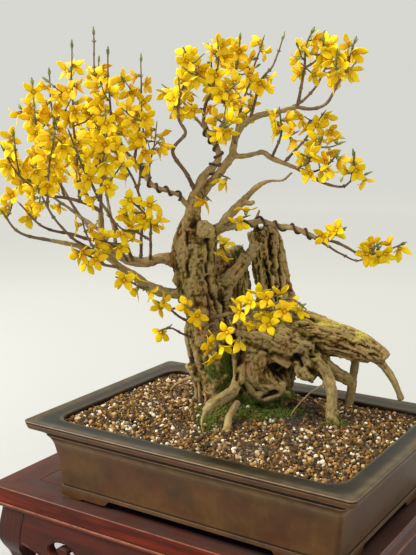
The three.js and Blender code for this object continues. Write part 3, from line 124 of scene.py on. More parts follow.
def add(tree, kind, inputs, out=0, stops=None, **settings):
    """Adds a shader node, sets or links its inputs, and gives one of its outputs."""
    node = tree.nodes.new("ShaderNode" + kind)
    for name, value in settings.items():
        setattr(node, name, value)
    for spare in (stops or [])[2:]:
        node.color_ramp.elements.new(spare[0])
    for place, (position, colour) in enumerate(stops or []):
        element = node.color_ramp.elements[place]
        element.position = position
        element.color = linear(colour) if isinstance(colour, str) else (colour, colour, colour, 1)
    for name, value in inputs.items():
        if isinstance(value, bpy.types.NodeSocket):
            tree.links.new(value, node.inputs[name])
        else:
            node.inputs[name].default_value = linear(value) if isinstance(value, str) else value
    return node.outputs[out]


def own_place(tree):
    """Where each point is, in the object's own space."""
    return add(tree, "TexCoord", {}, "Object")


def stored(tree, name, out="Fac"):
    """A value that mark() stored on a piece."""
    return add(tree, "Attribute", {}, out, attribute_name=name)


def mottle(tree, place, scale, detail=2, roughness=0.5):
    """A cloudy value, with smaller clouds at a higher scale."""
    return add(tree, "TexNoise", {"Vector": place, "Scale": scale, "Detail": detail,
                                  "Roughness": roughness})


def ramp(tree, value, *stops):
    """Colours or greys at stops along a value."""
    return add(tree, "ValToRGB", {0: value}, stops=stops)


def ranged(tree, value, low, high, from_low=0, to_high=1):
    """A value from one span laid over another and kept within it."""
    return add(tree, "MapRange", {0: value, 1: low, 2: high, 3: from_low, 4: to_high})


def blend(tree, share, first, second, way="MIX"):
    """A share of the second colour over the first."""
    return add(tree, "Mix", {0: share, 6: first, 7: second}, 2, data_type="RGBA", blend_type=way)


def darken(tree, share, colour, shade):
    """A colour multiplied by a shade, in a share."""
    return blend(tree, share, colour, shade, "MULTIPLY")


def bumped(tree, height, strength, distance):
    """Fine relief that only the light sees."""
    return add(tree, "Bump", {"Height": height, "Strength": strength, "Distance": distance},
               "Normal")


def surface(tree, colour, roughness, normal=None, more=()):
    """The finished surface: its colour, how matt it is from 0 to 1, and its fine relief."""
    relief = {} if normal is None else {"Normal": normal}
    return add(tree, "BsdfPrincipled", {"Base Color": colour, "Roughness": roughness, **relief,
                                        **dict(more)})


def make_material(name, recipe):
    """A material whose shader is what the recipe builds in its node tree."""
    material = bpy.data.materials.new(name)
    material.use_nodes = True
    tree = material.node_tree
    tree.nodes.clear()
    output = tree.nodes.new("ShaderNodeOutputMaterial")
    tree.links.new(recipe(tree), output.inputs["Surface"])
    return material


def make_piece(name, shell, material, nodes=(), sharp=32):
    """A piece of the object from points in millimetres and faces, in place of some CAD nodes."""
    points, faces = shell
    mesh = bpy.data.meshes.new(name)
    placed = RIM_MIDDLE + np.asarray(points, float) / 1000
    mesh.from_pydata(placed.tolist(), [], faces)
    mesh.materials.append(material)
    mesh.shade_smooth()
    mesh.set_sharp_from_angle(angle=math.radians(sharp))
    piece = bpy.data.objects.new(name, mesh)
    bpy.context.scene.collection.objects.link(piece)
    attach(piece, "root")
    if nodes:
        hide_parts(*nodes)
    return piece


def unit(vector):
    """A direction with a length of 1."""
    return np.asarray(vector) / np.linalg.norm(vector)


def loft(rings):
    """A closed shell through rings of equally many points, turning left seen from the last."""
    rings = [np.asarray(ring, float) for ring in rings]
    sides = len(rings[0])
    faces = []
    for low in range(0, (len(rings) - 1) * sides, sides):
        for side in range(sides):
            after = (side + 1) % sides
            faces.append((low + side, low + after, low + sides + after, low + sides + side))
    last = (len(rings) - 1) * sides
    faces.append(tuple(reversed(range(sides))))
    faces.append(tuple(range(last, last + sides)))
    return np.concatenate(rings), faces


def together(shells):
    """Several shells as one."""
    points, faces, count = [], [], 0
    for shell_points, shell_faces in shells:
        points.append(shell_points)
        faces += [tuple(corner + count for corner in face) for face in shell_faces]
        count += len(shell_points)
    return np.concatenate(points), faces


def along_curve(points, shares):
    """Places along an even smooth curve through points, at shares from 0 to 1."""
    points = np.asarray(points, float)
    padded = np.concatenate([[2 * points[0] - points[1]], points, [2 * points[-1] - points[-2]]])
    place = np.clip(np.asarray(shares, float), 0, 1) * (len(points) - 1)
    first = np.minimum(place.astype(int), len(points) - 2)
    w = (place - first)[..., None]
    before, start, end, after = (padded[first + step] for step in range(4))
    leave, arrive = (end - before) / 2, (after - start) / 2
    return ((2 * start - 2 * end + leave + arrive) * w ** 3
            + (3 * end - 3 * start - 2 * leave - arrive) * w ** 2 + leave * w + start)


def turned(points, quarter):
    """Points after a number of quarter turns about the vertical."""
    x, y, z = np.asarray(points, float).T
    for _ in range(quarter):
        x, y = -y, x
    return np.stack([x, y, z], axis=1)


def on_stand(points):
    """From the stand's own middle and top to the frame of the pot's rim."""
    return np.asarray(points, float) + [STAND_LEFT, 0, STAND_TOP]


def varnished_rosewood(tree):
    """Rosewood, stained red-brown and varnished. Dark grain lines 1 to 3 mm apart run along the
    boards under a gloss gone thin with use, with dust where the surface looks up, a painted
    shadow under the pot, old dull dirt with painted shade on the legs and aprons, and edges
    paled by hands and cloths with a painted highlight along them."""
    place = own_place(tree)
    run = stored(tree, "grain", "Vector")
    figure = mottle(tree, run, 26, 6, 0.62)
    lines = add(tree, "TexWave", {"Vector": run, "Scale": 34, "Distortion": 9, "Detail": 4,
                                  "Detail Scale": 1.6}, bands_direction="Y")
    wood = ramp(tree, figure, (0.25, "#260902"), (0.45, "#481202"), (0.62, "#6e2006"),
                (0.8, "#90340c"))
    grain = ramp(tree, lines, (0.1, 0.5), (0.55, 1.0))
    stained = darken(tree, 0.75, wood, grain)
    normal = add(tree, "NewGeometry", {}, "Normal")
    upward = add(tree, "SeparateXYZ", {0: normal}, "Z")
    patches = mottle(tree, place, 22, 7, 0.7)
    patchy = ranged(tree, patches, 0.36, 0.68, 0.55, 1.0)
    lying = ranged(tree, upward, 0.75, 0.98)
    dust = add(tree, "Math", {0: patchy, 1: lying}, operation="MULTIPLY")
    # Legs and aprons darker and duller: old dirt, with painted shade under the top
    shaded_and_grimy = stored(tree, "shade_and_grime")
    dulled = blend(tree, shaded_and_grimy, stained, "#2b1a17")
    dusted = blend(tree, dust, dulled, "#493731")
    # Painted shadow under the pot: the panel goes near black across the pot's footprint
    from_pot = add(tree, "VectorMath", {0: place, 1: tuple(RIM_MIDDLE)}, operation="SUBTRACT")
    folded = add(tree, "VectorMath", {0: from_pot}, operation="ABSOLUTE")
    sides = add(tree, "SeparateXYZ", {0: folded}, "X").node
    lengthways = ranged(tree, sides.outputs["X"], *POT_SHADOW_LENGTH)
    crossways = ranged(tree, sides.outputs["Y"], *POT_SHADOW_WIDTH)
    painted_shade = add(tree, "Math", {0: lengthways, 1: crossways}, operation="MULTIPLY")
    pot_shadow = blend(tree, painted_shade, dusted, "#070302")
    # Pale edges: paled by hands and cloths, with a painted highlight along the nose and the bead
    painted_light_and_wear = stored(tree, "painted_light_and_wear")
    pale_patches = mottle(tree, place, 90, 4)
    highlight_and_wear = add(tree, "Math", {0: painted_light_and_wear, 1: pale_patches}, operation="MULTIPLY")
    colour = blend(tree, highlight_and_wear, pot_shadow, "#a8745c")
    gloss = ranged(tree, dust, 0, 0.6, 0.24, 0.58)
    bump = bumped(tree, lines, 0.12, 0.0004)
    return surface(tree, colour, gloss, bump, {
        "Specular IOR Level": 0.13, "Coat Weight": 0.05, "Coat Roughness": 0.12})


rosewood = make_material("varnished_rosewood", varnished_rosewood)


def mark(piece, name, kind, values):
    """Stores a value for each point of a piece, for its material to read."""
    attribute = piece.data.attributes.new(name, kind, "POINT")
    field = {"FLOAT": "value", "FLOAT_VECTOR": "vector", "FLOAT_COLOR": "color"}[kind]
    attribute.data.foreach_set(field, np.asarray(values, np.float32).ravel())


def wooden(name, shell, node, quarter=0, painted_light_and_wear=None, shade_and_grime=0.0, upright=False):
    """A piece of the stand, with its grain running along the board, and old dull dirt with
    painted shade darkening it.
    """
    points, faces = shell
    placed = on_stand(turned(points, quarter))
    piece = make_piece(name, (placed, faces), rosewood, [node])
    run = np.asarray(points)[:, [2, 0, 1] if upright else [0, 1, 2]]
    mark(piece, "grain", "FLOAT_VECTOR", run * ALONG_BOARD + quarter)
    mark(piece, "painted_light_and_wear", "FLOAT", np.zeros(len(points)) if painted_light_and_wear is None else painted_light_and_wear)
    mark(piece, "shade_and_grime", "FLOAT", np.full(len(points), shade_and_grime))


def side_size(quarter):
    """The stand's length along one of its sides, and its width across it."""
    return (STAND_LENGTH, STAND_WIDTH)[::1 if quarter % 2 == 0 else -1]


for quarter, side in enumerate(SIDES):
    length, width = side_size(quarter)
    ends = [[(sign * (length / 2 + out - MITRE_GAP), -width / 2 - out, height)
             for out, height in MEMBER_SECTION] for sign in (-1, 1)]
    edges = [HIGHLIT_AND_RUBBED * any(low < height < high for low, high in HIGHLIT_AND_RUBBED_HEIGHTS)
             for out, height in MEMBER_SECTION]
    wooden(f"stand_{side}_member", loft(ends), f"table_frame_{side}", quarter, edges * 2)

panel_rings = []
for inset, height in PANEL_SECTION:
    half_length = STAND_LENGTH / 2 - MEMBER_WIDTH - JOINT_GAP - inset
    half_width = STAND_WIDTH / 2 - MEMBER_WIDTH - JOINT_GAP - inset
    panel_rings.append([(x * half_length, y * half_width, height)
                        for x, y in ((-1, -1), (1, -1), (1, 1), (-1, 1))])
wooden("stand_panel", loft(panel_rings), "table_panel")


def leg(sign_x, sign_y):
    """A bowed leg, square in plan with a rounded outer corner and a turned-out foot."""
    turn = np.linspace(0, 2 * math.pi, LEG_SIDES, endpoint=False)
    outward = (np.cos(turn) * sign_x > -1e-9) & (np.sin(turn) * sign_y > -1e-9)
    power = np.where(outward, OUTER_POWER, INNER_POWER)
    plan = [np.sign(f(turn)) * np.abs(f(turn)) ** power for f in (np.cos, np.sin)]
    rings = []
    for drop, size, out in along_curve(LEG_SHAPE, np.linspace(1, 0, LEG_RINGS)):
        shift = out - LEG_INSET - size / 2
        x = sign_x * (STAND_LENGTH / 2 + shift) + plan[0] * size / 2
        y = sign_y * (STAND_WIDTH / 2 + shift) + plan[1] * size / 2
        rings.append(np.stack([x, y, np.full(LEG_SIDES, -drop)], axis=1))
    return loft(rings)


for name, sign_x, sign_y in (("front_left", -1, -1), ("front_right", 1, -1),
                             ("back_right", 1, 1), ("back_left", -1, 1)):
    wooden(f"stand_leg_{name}", leg(sign_x, sign_y), f"table_leg_{name}", shade_and_grime=LEG_SHADE_AND_GRIME,
           upright=True)


def tube(line, radii, sides, start_side=(0.3, 0.2, 1)):
    """A round shell along a line of points, with the frame that it was turned in at each point."""
    line = np.asarray(line, float)
    along = np.gradient(line, axis=0)
    along /= np.linalg.norm(along, axis=1)[:, None]
    side = np.cross(along[0], start_side)
    turn = np.linspace(0, 2 * math.pi, sides, endpoint=False)
    rings, frames = [], []
    for place, heading, radius in zip(line, along, np.broadcast_to(radii, len(line))):
        side = unit(side - heading * side.dot(heading))
        other = np.cross(heading, side)
        spokes = np.outer(np.cos(turn), side) + np.outer(np.sin(turn), other)
        rings.append(place + spokes * (radius[:, None] if np.ndim(radius) else radius))
        frames.append((side, other))
    return (*loft(rings), frames)


def bowed(points, half):
    """A standing board's points, bowed out like the legs' shoulders and lengthened with them."""
    out = np.interp(points[:, 2], [-62, -46, -30, -12, 0], [4, 6, 5, 2, 0])
    near_leg = np.clip((np.abs(points[:, 0]) - half + 40) / 40, 0, 1)
    lengthened = points[:, 0] + np.sign(points[:, 0]) * out * near_leg
    return np.column_stack([lengthened, points[:, 1] - out, points[:, 2]])


def scroll(middle, grow=0.0):
    """The outline of a scroll opening: a horseshoe round a boss that stands on a short neck."""
    sweep = np.radians(np.linspace(-60, 240, 40))
    ripple = 1 + 0.05 * np.cos(4 * sweep)
    outer = np.column_stack([middle + (SCROLL_WIDE + grow) * np.cos(sweep) * ripple,
                             (SCROLL_HIGH + grow) * np.sin(sweep) - SCROLL_DROP])
    back = sweep[::-1]
    inner = np.column_stack([middle + BOSS_WIDE * np.cos(back) + 1.6 * np.sin(2 * back),
                             BOSS_HIGH * np.sin(back) - SCROLL_DROP])
    return outer, inner


def apron(length):
    """A board arched at its ends, pierced by a row of scrolls, with a bead along its foot and
    round each scroll."""
    half = length / 2
    foot = -APRON_DROP
    edge = along_curve([(-half, foot + 16), (-half + 14, foot + 13.6), (-half + 28, foot + 8),
                        (-half + 40, foot + 1.2), (-half + 52, foot), (-40, foot), (-20, foot),
                        (-9, foot + 1.6), (-3, foot + 5), (0, foot + 7)], np.linspace(0, 1, 60))
    lower = np.concatenate([edge, (edge * [-1, 1])[-2::-1]])
    span = length - 2 * SCROLL_FROM_END
    spaces = max(1, round(span / SCROLL_PITCH))
    middles = [span * (place / spaces - 0.5) for place in range(spaces + 1)]
    loops = [[(half, 0), (-half, 0), *map(tuple, lower)]]
    loops += [np.concatenate(scroll(middle)) for middle in middles]
    curve = bpy.data.curves.new("apron_outline", "CURVE")
    curve.dimensions = "2D"
    curve.fill_mode = "BOTH"
    curve.extrude = APRON_THICK / 2 - APRON_ARRIS
    curve.bevel_depth = APRON_ARRIS
    curve.bevel_resolution = 2
    curve.offset = -APRON_ARRIS
    for loop in loops:
        spline = curve.splines.new("POLY")
        spline.points.add(len(loop) - 1)
        spline.points.foreach_set("co", [c for x, y in loop for c in (x, y, 0, 1)])
        spline.use_cyclic_u = True
    board = bpy.data.objects.new("apron_outline", curve)
    bpy.context.scene.collection.objects.link(board)
    bpy.context.view_layer.update()
    sliced = bmesh.new()
    sliced.from_mesh(board.to_mesh())
    for level in range(-APRON_SLICE, foot, -APRON_SLICE):
        every = [*sliced.verts, *sliced.edges, *sliced.faces]
        bmesh.ops.bisect_plane(sliced, geom=every, plane_co=(0, level, 0), plane_no=(0, 1, 0))
    flat = np.array([v.co for v in sliced.verts])
    sliced.verts.index_update()
    faces = [tuple(v.index for v in face.verts) for face in sliced.faces]
    sliced.free()
    board.to_mesh_clear()
    bpy.data.objects.remove(board)
    # The board is drawn lying down: its thickness becomes the depth of the standing board
    standing = np.column_stack([flat[:, 0], -flat[:, 2], flat[:, 1]])
    front = -APRON_THICK / 2 + 0.1
    lines = [((lower + [0, FOOT_BEAD_UP])[2:-2], FOOT_BEAD)]
    lines += [(scroll(middle, SCROLL_BEAD_OUT)[0], SCROLL_BEAD) for middle in middles]
    beads = []
    for line, radius in lines:
        bead = np.column_stack([line[:, 0], np.full(len(line), front), line[:, 1]])
        beads.append(tube(bead, radius, 8)[:2])
    points, faces = together([(standing, faces), *beads])
    return bowed(points, half) + [0, APRON_THICK / 2, -LEG_SHAPE[0][0]], faces


LEG_ROOM = 2 * (LEG_INSET + LEG_SHAPE[0][1] + JOINT_GAP)
for quarter, side in enumerate(SIDES):
    length, width = side_size(quarter)
    points, faces = apron(length - LEG_ROOM)
    wooden(f"stand_{side}_apron", (points + [0, -width / 2 + LEG_INSET, 0], faces),
           f"table_apron_{side}", quarter, shade_and_grime=APRON_SHADE_AND_GRIME)

# Pot
# A slab-built rectangular tray of dark brown unglazed stoneware, burnished before firing: a broad
# dished rim, a hollow throat, a quirk down each corner, a band at the waist and cloud-cut feet.
POT_LENGTH = 460
POT_WIDTH = 323
POT_HEIGHT = 107
POT_FOOT_HEIGHT = 11
POT_FOOT_LENGTH = 78
POT_FOOT_INSET = 31.5
RIM_BREADTH = 31.5
QUIRK_DEPTH = 1.2
DRAIN_RADIUS = 11
DRAIN_FROM_MIDDLE = 95
POT_SHARP = 40
# Inset from the rim's edge, height, corner radius, and the surface's painted light and use:
# above 0 an edge paled by hands and cloths with a painted highlight, below 0 painted shade
# in a recess
POT_PROFILE = [
    (31.5, -107, 7, 0.5), (30.9, -106.2, 7.4, 0.5), (30.8, -103, 7.5, 0), (31.0, -96, 7.5, 0),
    (31.3, -92.0, 7.4, 0), (31.7, -91.3, 7.2, 0.3), (32.4, -91.1, 7, -0.2), (32.9, -90.8, 6.6, -0.6),
    (32.9, -90.3, 6.6, -0.6), (32.6, -89.7, 7, -0.2), (32.7, -88.6, 7, 0), (32.2, -82, 7, 0),
    (29.8, -62, 7, 0), (28.2, -48, 7, 0), (27.2, -41, 7, 0), (26.2, -35.4, 7, 0.1),
    (25.2, -32, 7, 0.35), (24.1, -29, 7, 0.3), (22.6, -26, 7, 0.05), (20.9, -23.6, 7, 0.1),
    (19.8, -22.3, 7, 0.8), (19.6, -21.6, 7, 0.8), (20.2, -21.2, 7, -0.4), (20.2, -20.4, 7, -0.9),
    (18.8, -19.2, 7, -0.8), (16.4, -17.4, 7, -0.65), (13.4, -15.4, 7, -0.65), (9.4, -13.2, 7, -0.6),
    (6.0, -11.6, 7, -0.3), (4.4, -10.9, 7, 0.2), (3.5, -10.0, 7, 0.25), (2.8, -8.6, 7.2, 0),
    (1.9, -6.0, 7.6, 0), (1.3, -4.0, 8, 0.3), (1.5, -3.3, 8, -0.5), (1.7, -2.6, 8, -0.8),
    (1.0, -2.0, 8, -0.2), (0.6, -1.2, 8, 0.4), (0.9, -0.5, 8, 0.6), (1.6, -0.15, 7.8, 0.3),
    (2.8, 0, 7, 0.2), (5.6, -0.4, 8, 0.35), (9, -1.0, 11, 0.3), (15, -1.6, 16, 0.05),
    (21, -1.6, 21, 0), (26, -1.1, 24, 0), (28.4, -1.0, 25.6, 0.25), (29.8, -1.5, 26, 0.3),
    (30.9, -2.6, 25, -0.3), (31.5, -4.4, 24, -0.8), (34, -30, 23, -0.9), (40, -82, 22, 0),
    (44, -87.4, 20, 0), (52, -90, 16, 0),
]
CORNER_STEPS = 12


def rounded_plan(length, width, radius, height, quirk=0):
    """A rectangle with round corners at one height, with a groove cut down each corner."""
    ring = []
    for corner in range(4):
        sign_x, sign_y = (1, -1, -1, 1)[corner], (1, 1, -1, -1)[corner]
        for step in range(CORNER_STEPS + 1):
            angle = (corner + step / CORNER_STEPS) * math.pi / 2
            reach = radius - quirk * math.exp(-((step - CORNER_STEPS / 2) / 1.1) ** 2)
            ring.append((sign_x * (length / 2 - radius) + reach * math.cos(angle),
                         sign_y * (width / 2 - radius) + reach * math.sin(angle), height))
    return ring


pot_rings, pot_light_and_wear = [], []
for inset, height, radius, light_and_wear_level in POT_PROFILE:
    quirk = QUIRK_DEPTH if -88 < height < -30 and inset < 32.6 else 0
    pot_rings.append(rounded_plan(POT_LENGTH - 2 * inset, POT_WIDTH - 2 * inset, radius, height,
                                  quirk))
    pot_light_and_wear += [light_and_wear_level] * len(pot_rings[-1])


def foot_gap(span, reach, depth, quarter):
    """The air between two feet: flat on top, with a long shallow step cut under each foot."""
    half = span / 2
    steps = along_curve([(half + reach, -5), (half + reach, 0.6), (half + reach - 2, 2.6),
                         (half + reach - 7, 3.7), (half + reach / 2, 3.3), (half + 6, 3.6),
                         (half + 1, 5.2), (half - 1.5, 8.6), (half - 4, 10.6),
                         (half - 9, POT_FOOT_HEIGHT)], np.linspace(0, 1, 36))
    profile = np.concatenate([steps, (steps * [-1, 1])[::-1]])
    ends = [[(x, y, z - POT_HEIGHT) for x, z in profile] for y in (depth / 2, -depth / 2)]
    points, faces = loft(ends)
    return turned(points, quarter), faces


def drain(x):
    """The air of a drain hole, from under the floor to above it."""
    return tube([(x, 0, z) for z in (-112, -84)], DRAIN_RADIUS, 32)[:2]


def burnished_stoneware(tree):
    """Unglazed stoneware burnished to a low sheen. Iron mottling 5 to 30 mm across, faint drawn
    streaks down the wall, and paler edges where hands and cloths have been, with a painted
    highlight along them. Painted shade darkens the recesses: under the lip, in the grooves and
    down the inside of the rim."""
    place = own_place(tree)
    clouds = mottle(tree, place, 24, 8, 0.62)
    body = ramp(tree, clouds, (0.3, "#3c2409"), (0.5, "#4f310e"), (0.7, "#5d3e16"))
    cast = mottle(tree, place, 13, 3)
    hue = ramp(tree, cast, (0.36, "#ffdcd0"), (0.5, "#ffffff"), (0.62, "#f2f2cc"))
    body = darken(tree, 1.0, body, hue)
    drawn = add(tree, "Mapping", {0: place, 3: (1, 1, 0.09)})
    streaks = mottle(tree, drawn, 260, 3)
    streaky = ramp(tree, streaks, (0.35, 0.78), (0.68, 1.0))
    wall = darken(tree, 0.6, body, streaky)
    normal = add(tree, "NewGeometry", {}, "Normal")
    upward = add(tree, "SeparateXYZ", {0: normal}, "Z")
    lying = ranged(tree, upward, 0.6, 0.97)
    weathered = ramp(tree, clouds, (0.34, "#14140b"), (0.5, "#201d0f"), (0.66, "#332b18"))
    rim = blend(tree, lying, wall, weathered)
    grit = mottle(tree, place, 900, 3)
    speckled = ramp(tree, grit, (0.38, 0.82), (0.62, 1.0))
    fired = darken(tree, 0.7, rim, speckled)
    painted_light_and_wear = stored(tree, "painted_light_and_wear")
    patch = mottle(tree, place, 70, 5)
    # Below 0 painted shade darkens a recess; above 0 an edge goes pale, with a painted highlight
    light_and_wear_level = add(tree, "Math", {0: painted_light_and_wear, 1: 1.0}, operation="ADD")
    recess = ramp(tree, light_and_wear_level, (0.0, "#3c2822"), (0.5, "#8a6e62"), (1.0, "#ffffff"))
    shaded = darken(tree, 1.0, fired, recess)
    highlight_and_wear = add(tree, "Math", {0: painted_light_and_wear, 1: patch}, operation="MULTIPLY", use_clamp=True)
    colour = blend(tree, highlight_and_wear, shaded, "#a8916f")
    sheen = ranged(tree, clouds, 0.3, 0.7, 0.34, 0.5)
    bump = bumped(tree, grit, 0.16, 0.0003)
    return surface(tree, colour, sheen, bump, {"Specular IOR Level": 0.28})


stoneware = make_material("burnished_stoneware", burnished_stoneware)
pot = make_piece("pot_tray", loft(pot_rings), stoneware, ["pot"], sharp=POT_SHARP)
mark(pot, "painted_light_and_wear", "FLOAT", pot_light_and_wear)


def cut(piece, shells):
    """Cuts closed shells out of a piece."""
    for shell in shells:
        tool = make_piece("cutter", shell, stoneware)
        change = piece.modifiers.new("cut", "BOOLEAN")
        change.operation = "DIFFERENCE"
        change.solver = "EXACT"
        change.object = tool
        apply_modifiers(piece)
        bpy.data.objects.remove(tool)


def apply_modifiers(piece):
    """Puts the result of a piece's modifiers in its mesh."""
    seen = bpy.context.evaluated_depsgraph_get()
    mesh = bpy.data.meshes.new_from_object(piece.evaluated_get(seen))
    piece.modifiers.clear()
    piece.data = mesh


long_span = POT_LENGTH - 2 * (POT_FOOT_INSET + POT_FOOT_LENGTH)
short_span = POT_WIDTH - 2 * (POT_FOOT_INSET + POT_FOOT_LENGTH * 0.8)
cut(pot, [foot_gap(long_span, 44, POT_WIDTH, 0), foot_gap(short_span, 30, POT_LENGTH, 1),
          drain(-DRAIN_FROM_MIDDLE), drain(DRAIN_FROM_MIDDLE)])
pot.data.shade_smooth()
pot.data.set_sharp_from_angle(angle=math.radians(POT_SHARP))

# Soil
# Baked clay grains with white pumice and dark lava, 3 to 6 mm, poured in and mounded up to the
# trunk. A bed of finer crumbs shows between the grains.
SOIL_EDGE = -7
SOIL_MOUND = 15
SOIL_BASE = -80
SOIL_RINGS = 42
# The pot's hollow is this much smaller than its rim, at the soil's base and at its top
BASE_SHRINK, TOP_SHRINK = 83, 65
# Painted shade on the soil under the roots: its middle in the tree's frame, and its reach
ROOT_SHADE_MIDDLE, ROOT_SHADE_REACH = [26, -34, 0], [48, 38]
GRAIN_COUNT = 9300
# Grains keep this far in from the rim's edge, inside round corners
GRAIN_INSET = 33
GRAIN_CORNER = 22
GRAIN_JITTER = 0.55
# Radii: the shape and scale of their spread, and the least and most
GRAIN_SPREAD, GRAIN_RADII = (6.5, 0.28), (0.9, 3.3)
GRAIN_LUMPS, GRAIN_SQUASH = (-0.3, 0.24), (-0.34, 0.3)
chance = np.random.default_rng(7)

# The tree is turned in its pot, and its foot stands behind and right of the pot's middle
TREE_TURN = math.radians(33.45)
TREE_FOOT = np.array([10, 45, 0])


def in_tree(points):
    """From the tree's own frame to the frame of the pot's rim."""
    across, away, up = np.asarray(points, float)[:, :3].T
    cos, sin = math.cos(TREE_TURN), math.sin(TREE_TURN)
    return np.column_stack([across * cos - away * sin, across * sin + away * cos, up]) + TREE_FOOT


def soil_height(x, y):
    """Height of the bed: highest round the middle, with low ripples."""
    share = np.clip(np.maximum(np.abs(x) / (POT_LENGTH / 2 - RIM_BREADTH),
                               np.abs(y) / (POT_WIDTH / 2 - RIM_BREADTH)), 0, 1)
    rise = np.cos(share * math.pi / 2) ** 1.3
    ripple = 1.6 * np.sin(x / 17 + 1) * np.cos(y / 14) + np.sin(x / 7 + y / 9)
    return SOIL_EDGE + SOIL_MOUND * rise + ripple * np.minimum(1, 3 * (1 - share)) - 1.2


soil_rings = [rounded_plan(POT_LENGTH - BASE_SHRINK, POT_WIDTH - BASE_SHRINK, 21, SOIL_BASE)]
for share in np.linspace(1, 0.02, SOIL_RINGS):
    length, width = (POT_LENGTH - TOP_SHRINK) * share, (POT_WIDTH - TOP_SHRINK) * share
    plan = np.array(rounded_plan(length, width, 23 * share, 0))
    crumbly = 0.6 * np.sin(plan[:, 0] * 1.7) * (share < 0.99)
    plan[:, 2] = soil_height(plan[:, 0], plan[:, 1]) + crumbly
    soil_rings.append(plan)


def shade_under_roots(points):
    """How much painted shade darkens the soil at places: most under the roots, none by the rim."""
    away = (np.asarray(points)[:, :2] - in_tree([ROOT_SHADE_MIDDLE])[0, :2]) / ROOT_SHADE_REACH
    return np.clip(1.35 * np.exp(-(away ** 2).sum(axis=1)), 0, 0.8)


def shaded_crumbs(tree):
    """Fine baked clay dust and crumbs, dull, with painted shade between the crumbs and under the
    roots.
    """
    place = own_place(tree)
    crumbs = add(tree, "TexVoronoi", {"Vector": place, "Scale": 400})
    kind = add(tree, "SeparateColor", {0: crumbs.node.outputs["Color"]}, "Red")
    clay = ramp(tree, kind, (0.0, "#4a330f"), (0.3, "#6a4a1b"), (0.55, "#835f2a"),
                (0.8, "#37260d"), (0.93, "#b7a883"))
    # Painted shade in the gaps between crumbs
    gaps = ramp(tree, crumbs, (0.15, 0.8), (0.6, 0.12))
    parted = darken(tree, 1.0, clay, gaps)
    # Painted shade under the roots, nearly black
    painted_shade = stored(tree, "painted_shade")
    tone = blend(tree, painted_shade, parted, "#0b0702")
    bump = bumped(tree, crumbs, 0.9, -0.0015)
    return surface(tree, tone, 0.92, bump)


crumbs = make_material("clay_crumbs_with_painted_shade", shaded_crumbs)
soil_bed = make_piece("soil_bed", loft(soil_rings), crumbs, ["soil"], sharp=60)
mark(soil_bed, "painted_shade", "FLOAT", shade_under_roots(np.concatenate(soil_rings)))


def search_tree(mesh):
    """A mesh's surface, ready for its nearest place to be found."""
    return BVHTree.FromPolygons([v.co for v in mesh.vertices],
                                [tuple(face.vertices) for face in mesh.polygons])


# The roots that the grains lie against
wood_tree = search_tree(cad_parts["wood"].data)


def depth_in_wood(point):
    """How far inside the wood a place in metres is, in millimetres, and less than 0 outside."""
    near, normal, _, distance = wood_tree.find_nearest(point)
    return distance * 1000 * (1 if (Vector(point) - near).dot(normal) < 0 else -1)


grain_shape = bmesh.new()
bmesh.ops.create_icosphere(grain_shape, subdivisions=1, radius=1)
grain_points = np.array([v.co for v in grain_shape.verts])
grain_faces = np.array([[v.index for v in f.verts] for f in grain_shape.faces])
grain_shape.free()


def random_turns(count):
    """Random rotation matrices."""
    q = chance.normal(size=(count, 4))
    w, x, y, z = (q / np.linalg.norm(q, axis=1)[:, None]).T
    return np.array([[1 - 2 * (y * y + z * z), 2 * (x * y - z * w), 2 * (x * z + y * w)],
                     [2 * (x * y + z * w), 1 - 2 * (x * x + z * z), 2 * (y * z - x * w)],
                     [2 * (x * z - y * w), 2 * (y * z + x * w), 1 - 2 * (x * x + y * y)]]
                    ).transpose(2, 0, 1)


# Grains stand on a jittered grid, so that they cover the bed evenly
half_x, half_y = POT_LENGTH / 2 - GRAIN_INSET, POT_WIDTH / 2 - GRAIN_INSET
step = math.sqrt(4 * half_x * half_y / GRAIN_COUNT)
grid = np.stack(np.meshgrid(np.arange(-half_x, half_x, step), np.arange(-half_y, half_y, step)),
                axis=-1).reshape(-1, 2)
grid = grid + chance.uniform(-GRAIN_JITTER, GRAIN_JITTER, grid.shape) * step
corner_x = np.clip(np.abs(grid[:, 0]) - (half_x - GRAIN_CORNER), 0, None)
corner_y = np.clip(np.abs(grid[:, 1]) - (half_y - GRAIN_CORNER), 0, None)
grid = grid[np.hypot(corner_x, corner_y) < GRAIN_CORNER + 0.5]
sizes = chance.gamma(*GRAIN_SPREAD, len(grid)).clip(*GRAIN_RADII)
heights = soil_height(grid[:, 0], grid[:, 1]) + sizes * chance.uniform(0.1, 0.75, len(grid))
places = np.column_stack([grid, heights])
free = [depth_in_wood(RIM_MIDDLE + place / 1000) < 0.4 * size
        for place, size in zip(places, sizes)]
places, sizes = places[free], sizes[free]
count = len(places)
lumps = 1 + chance.uniform(*GRAIN_LUMPS, (count, len(grain_points), 1))
squash = sizes[:, None, None] * (1 + chance.uniform(*GRAIN_SQUASH, (count, 1, 3)))
grains = np.einsum("nij,nkj->nki", random_turns(count), grain_points * lumps * squash)
grains = grains + places[:, None]


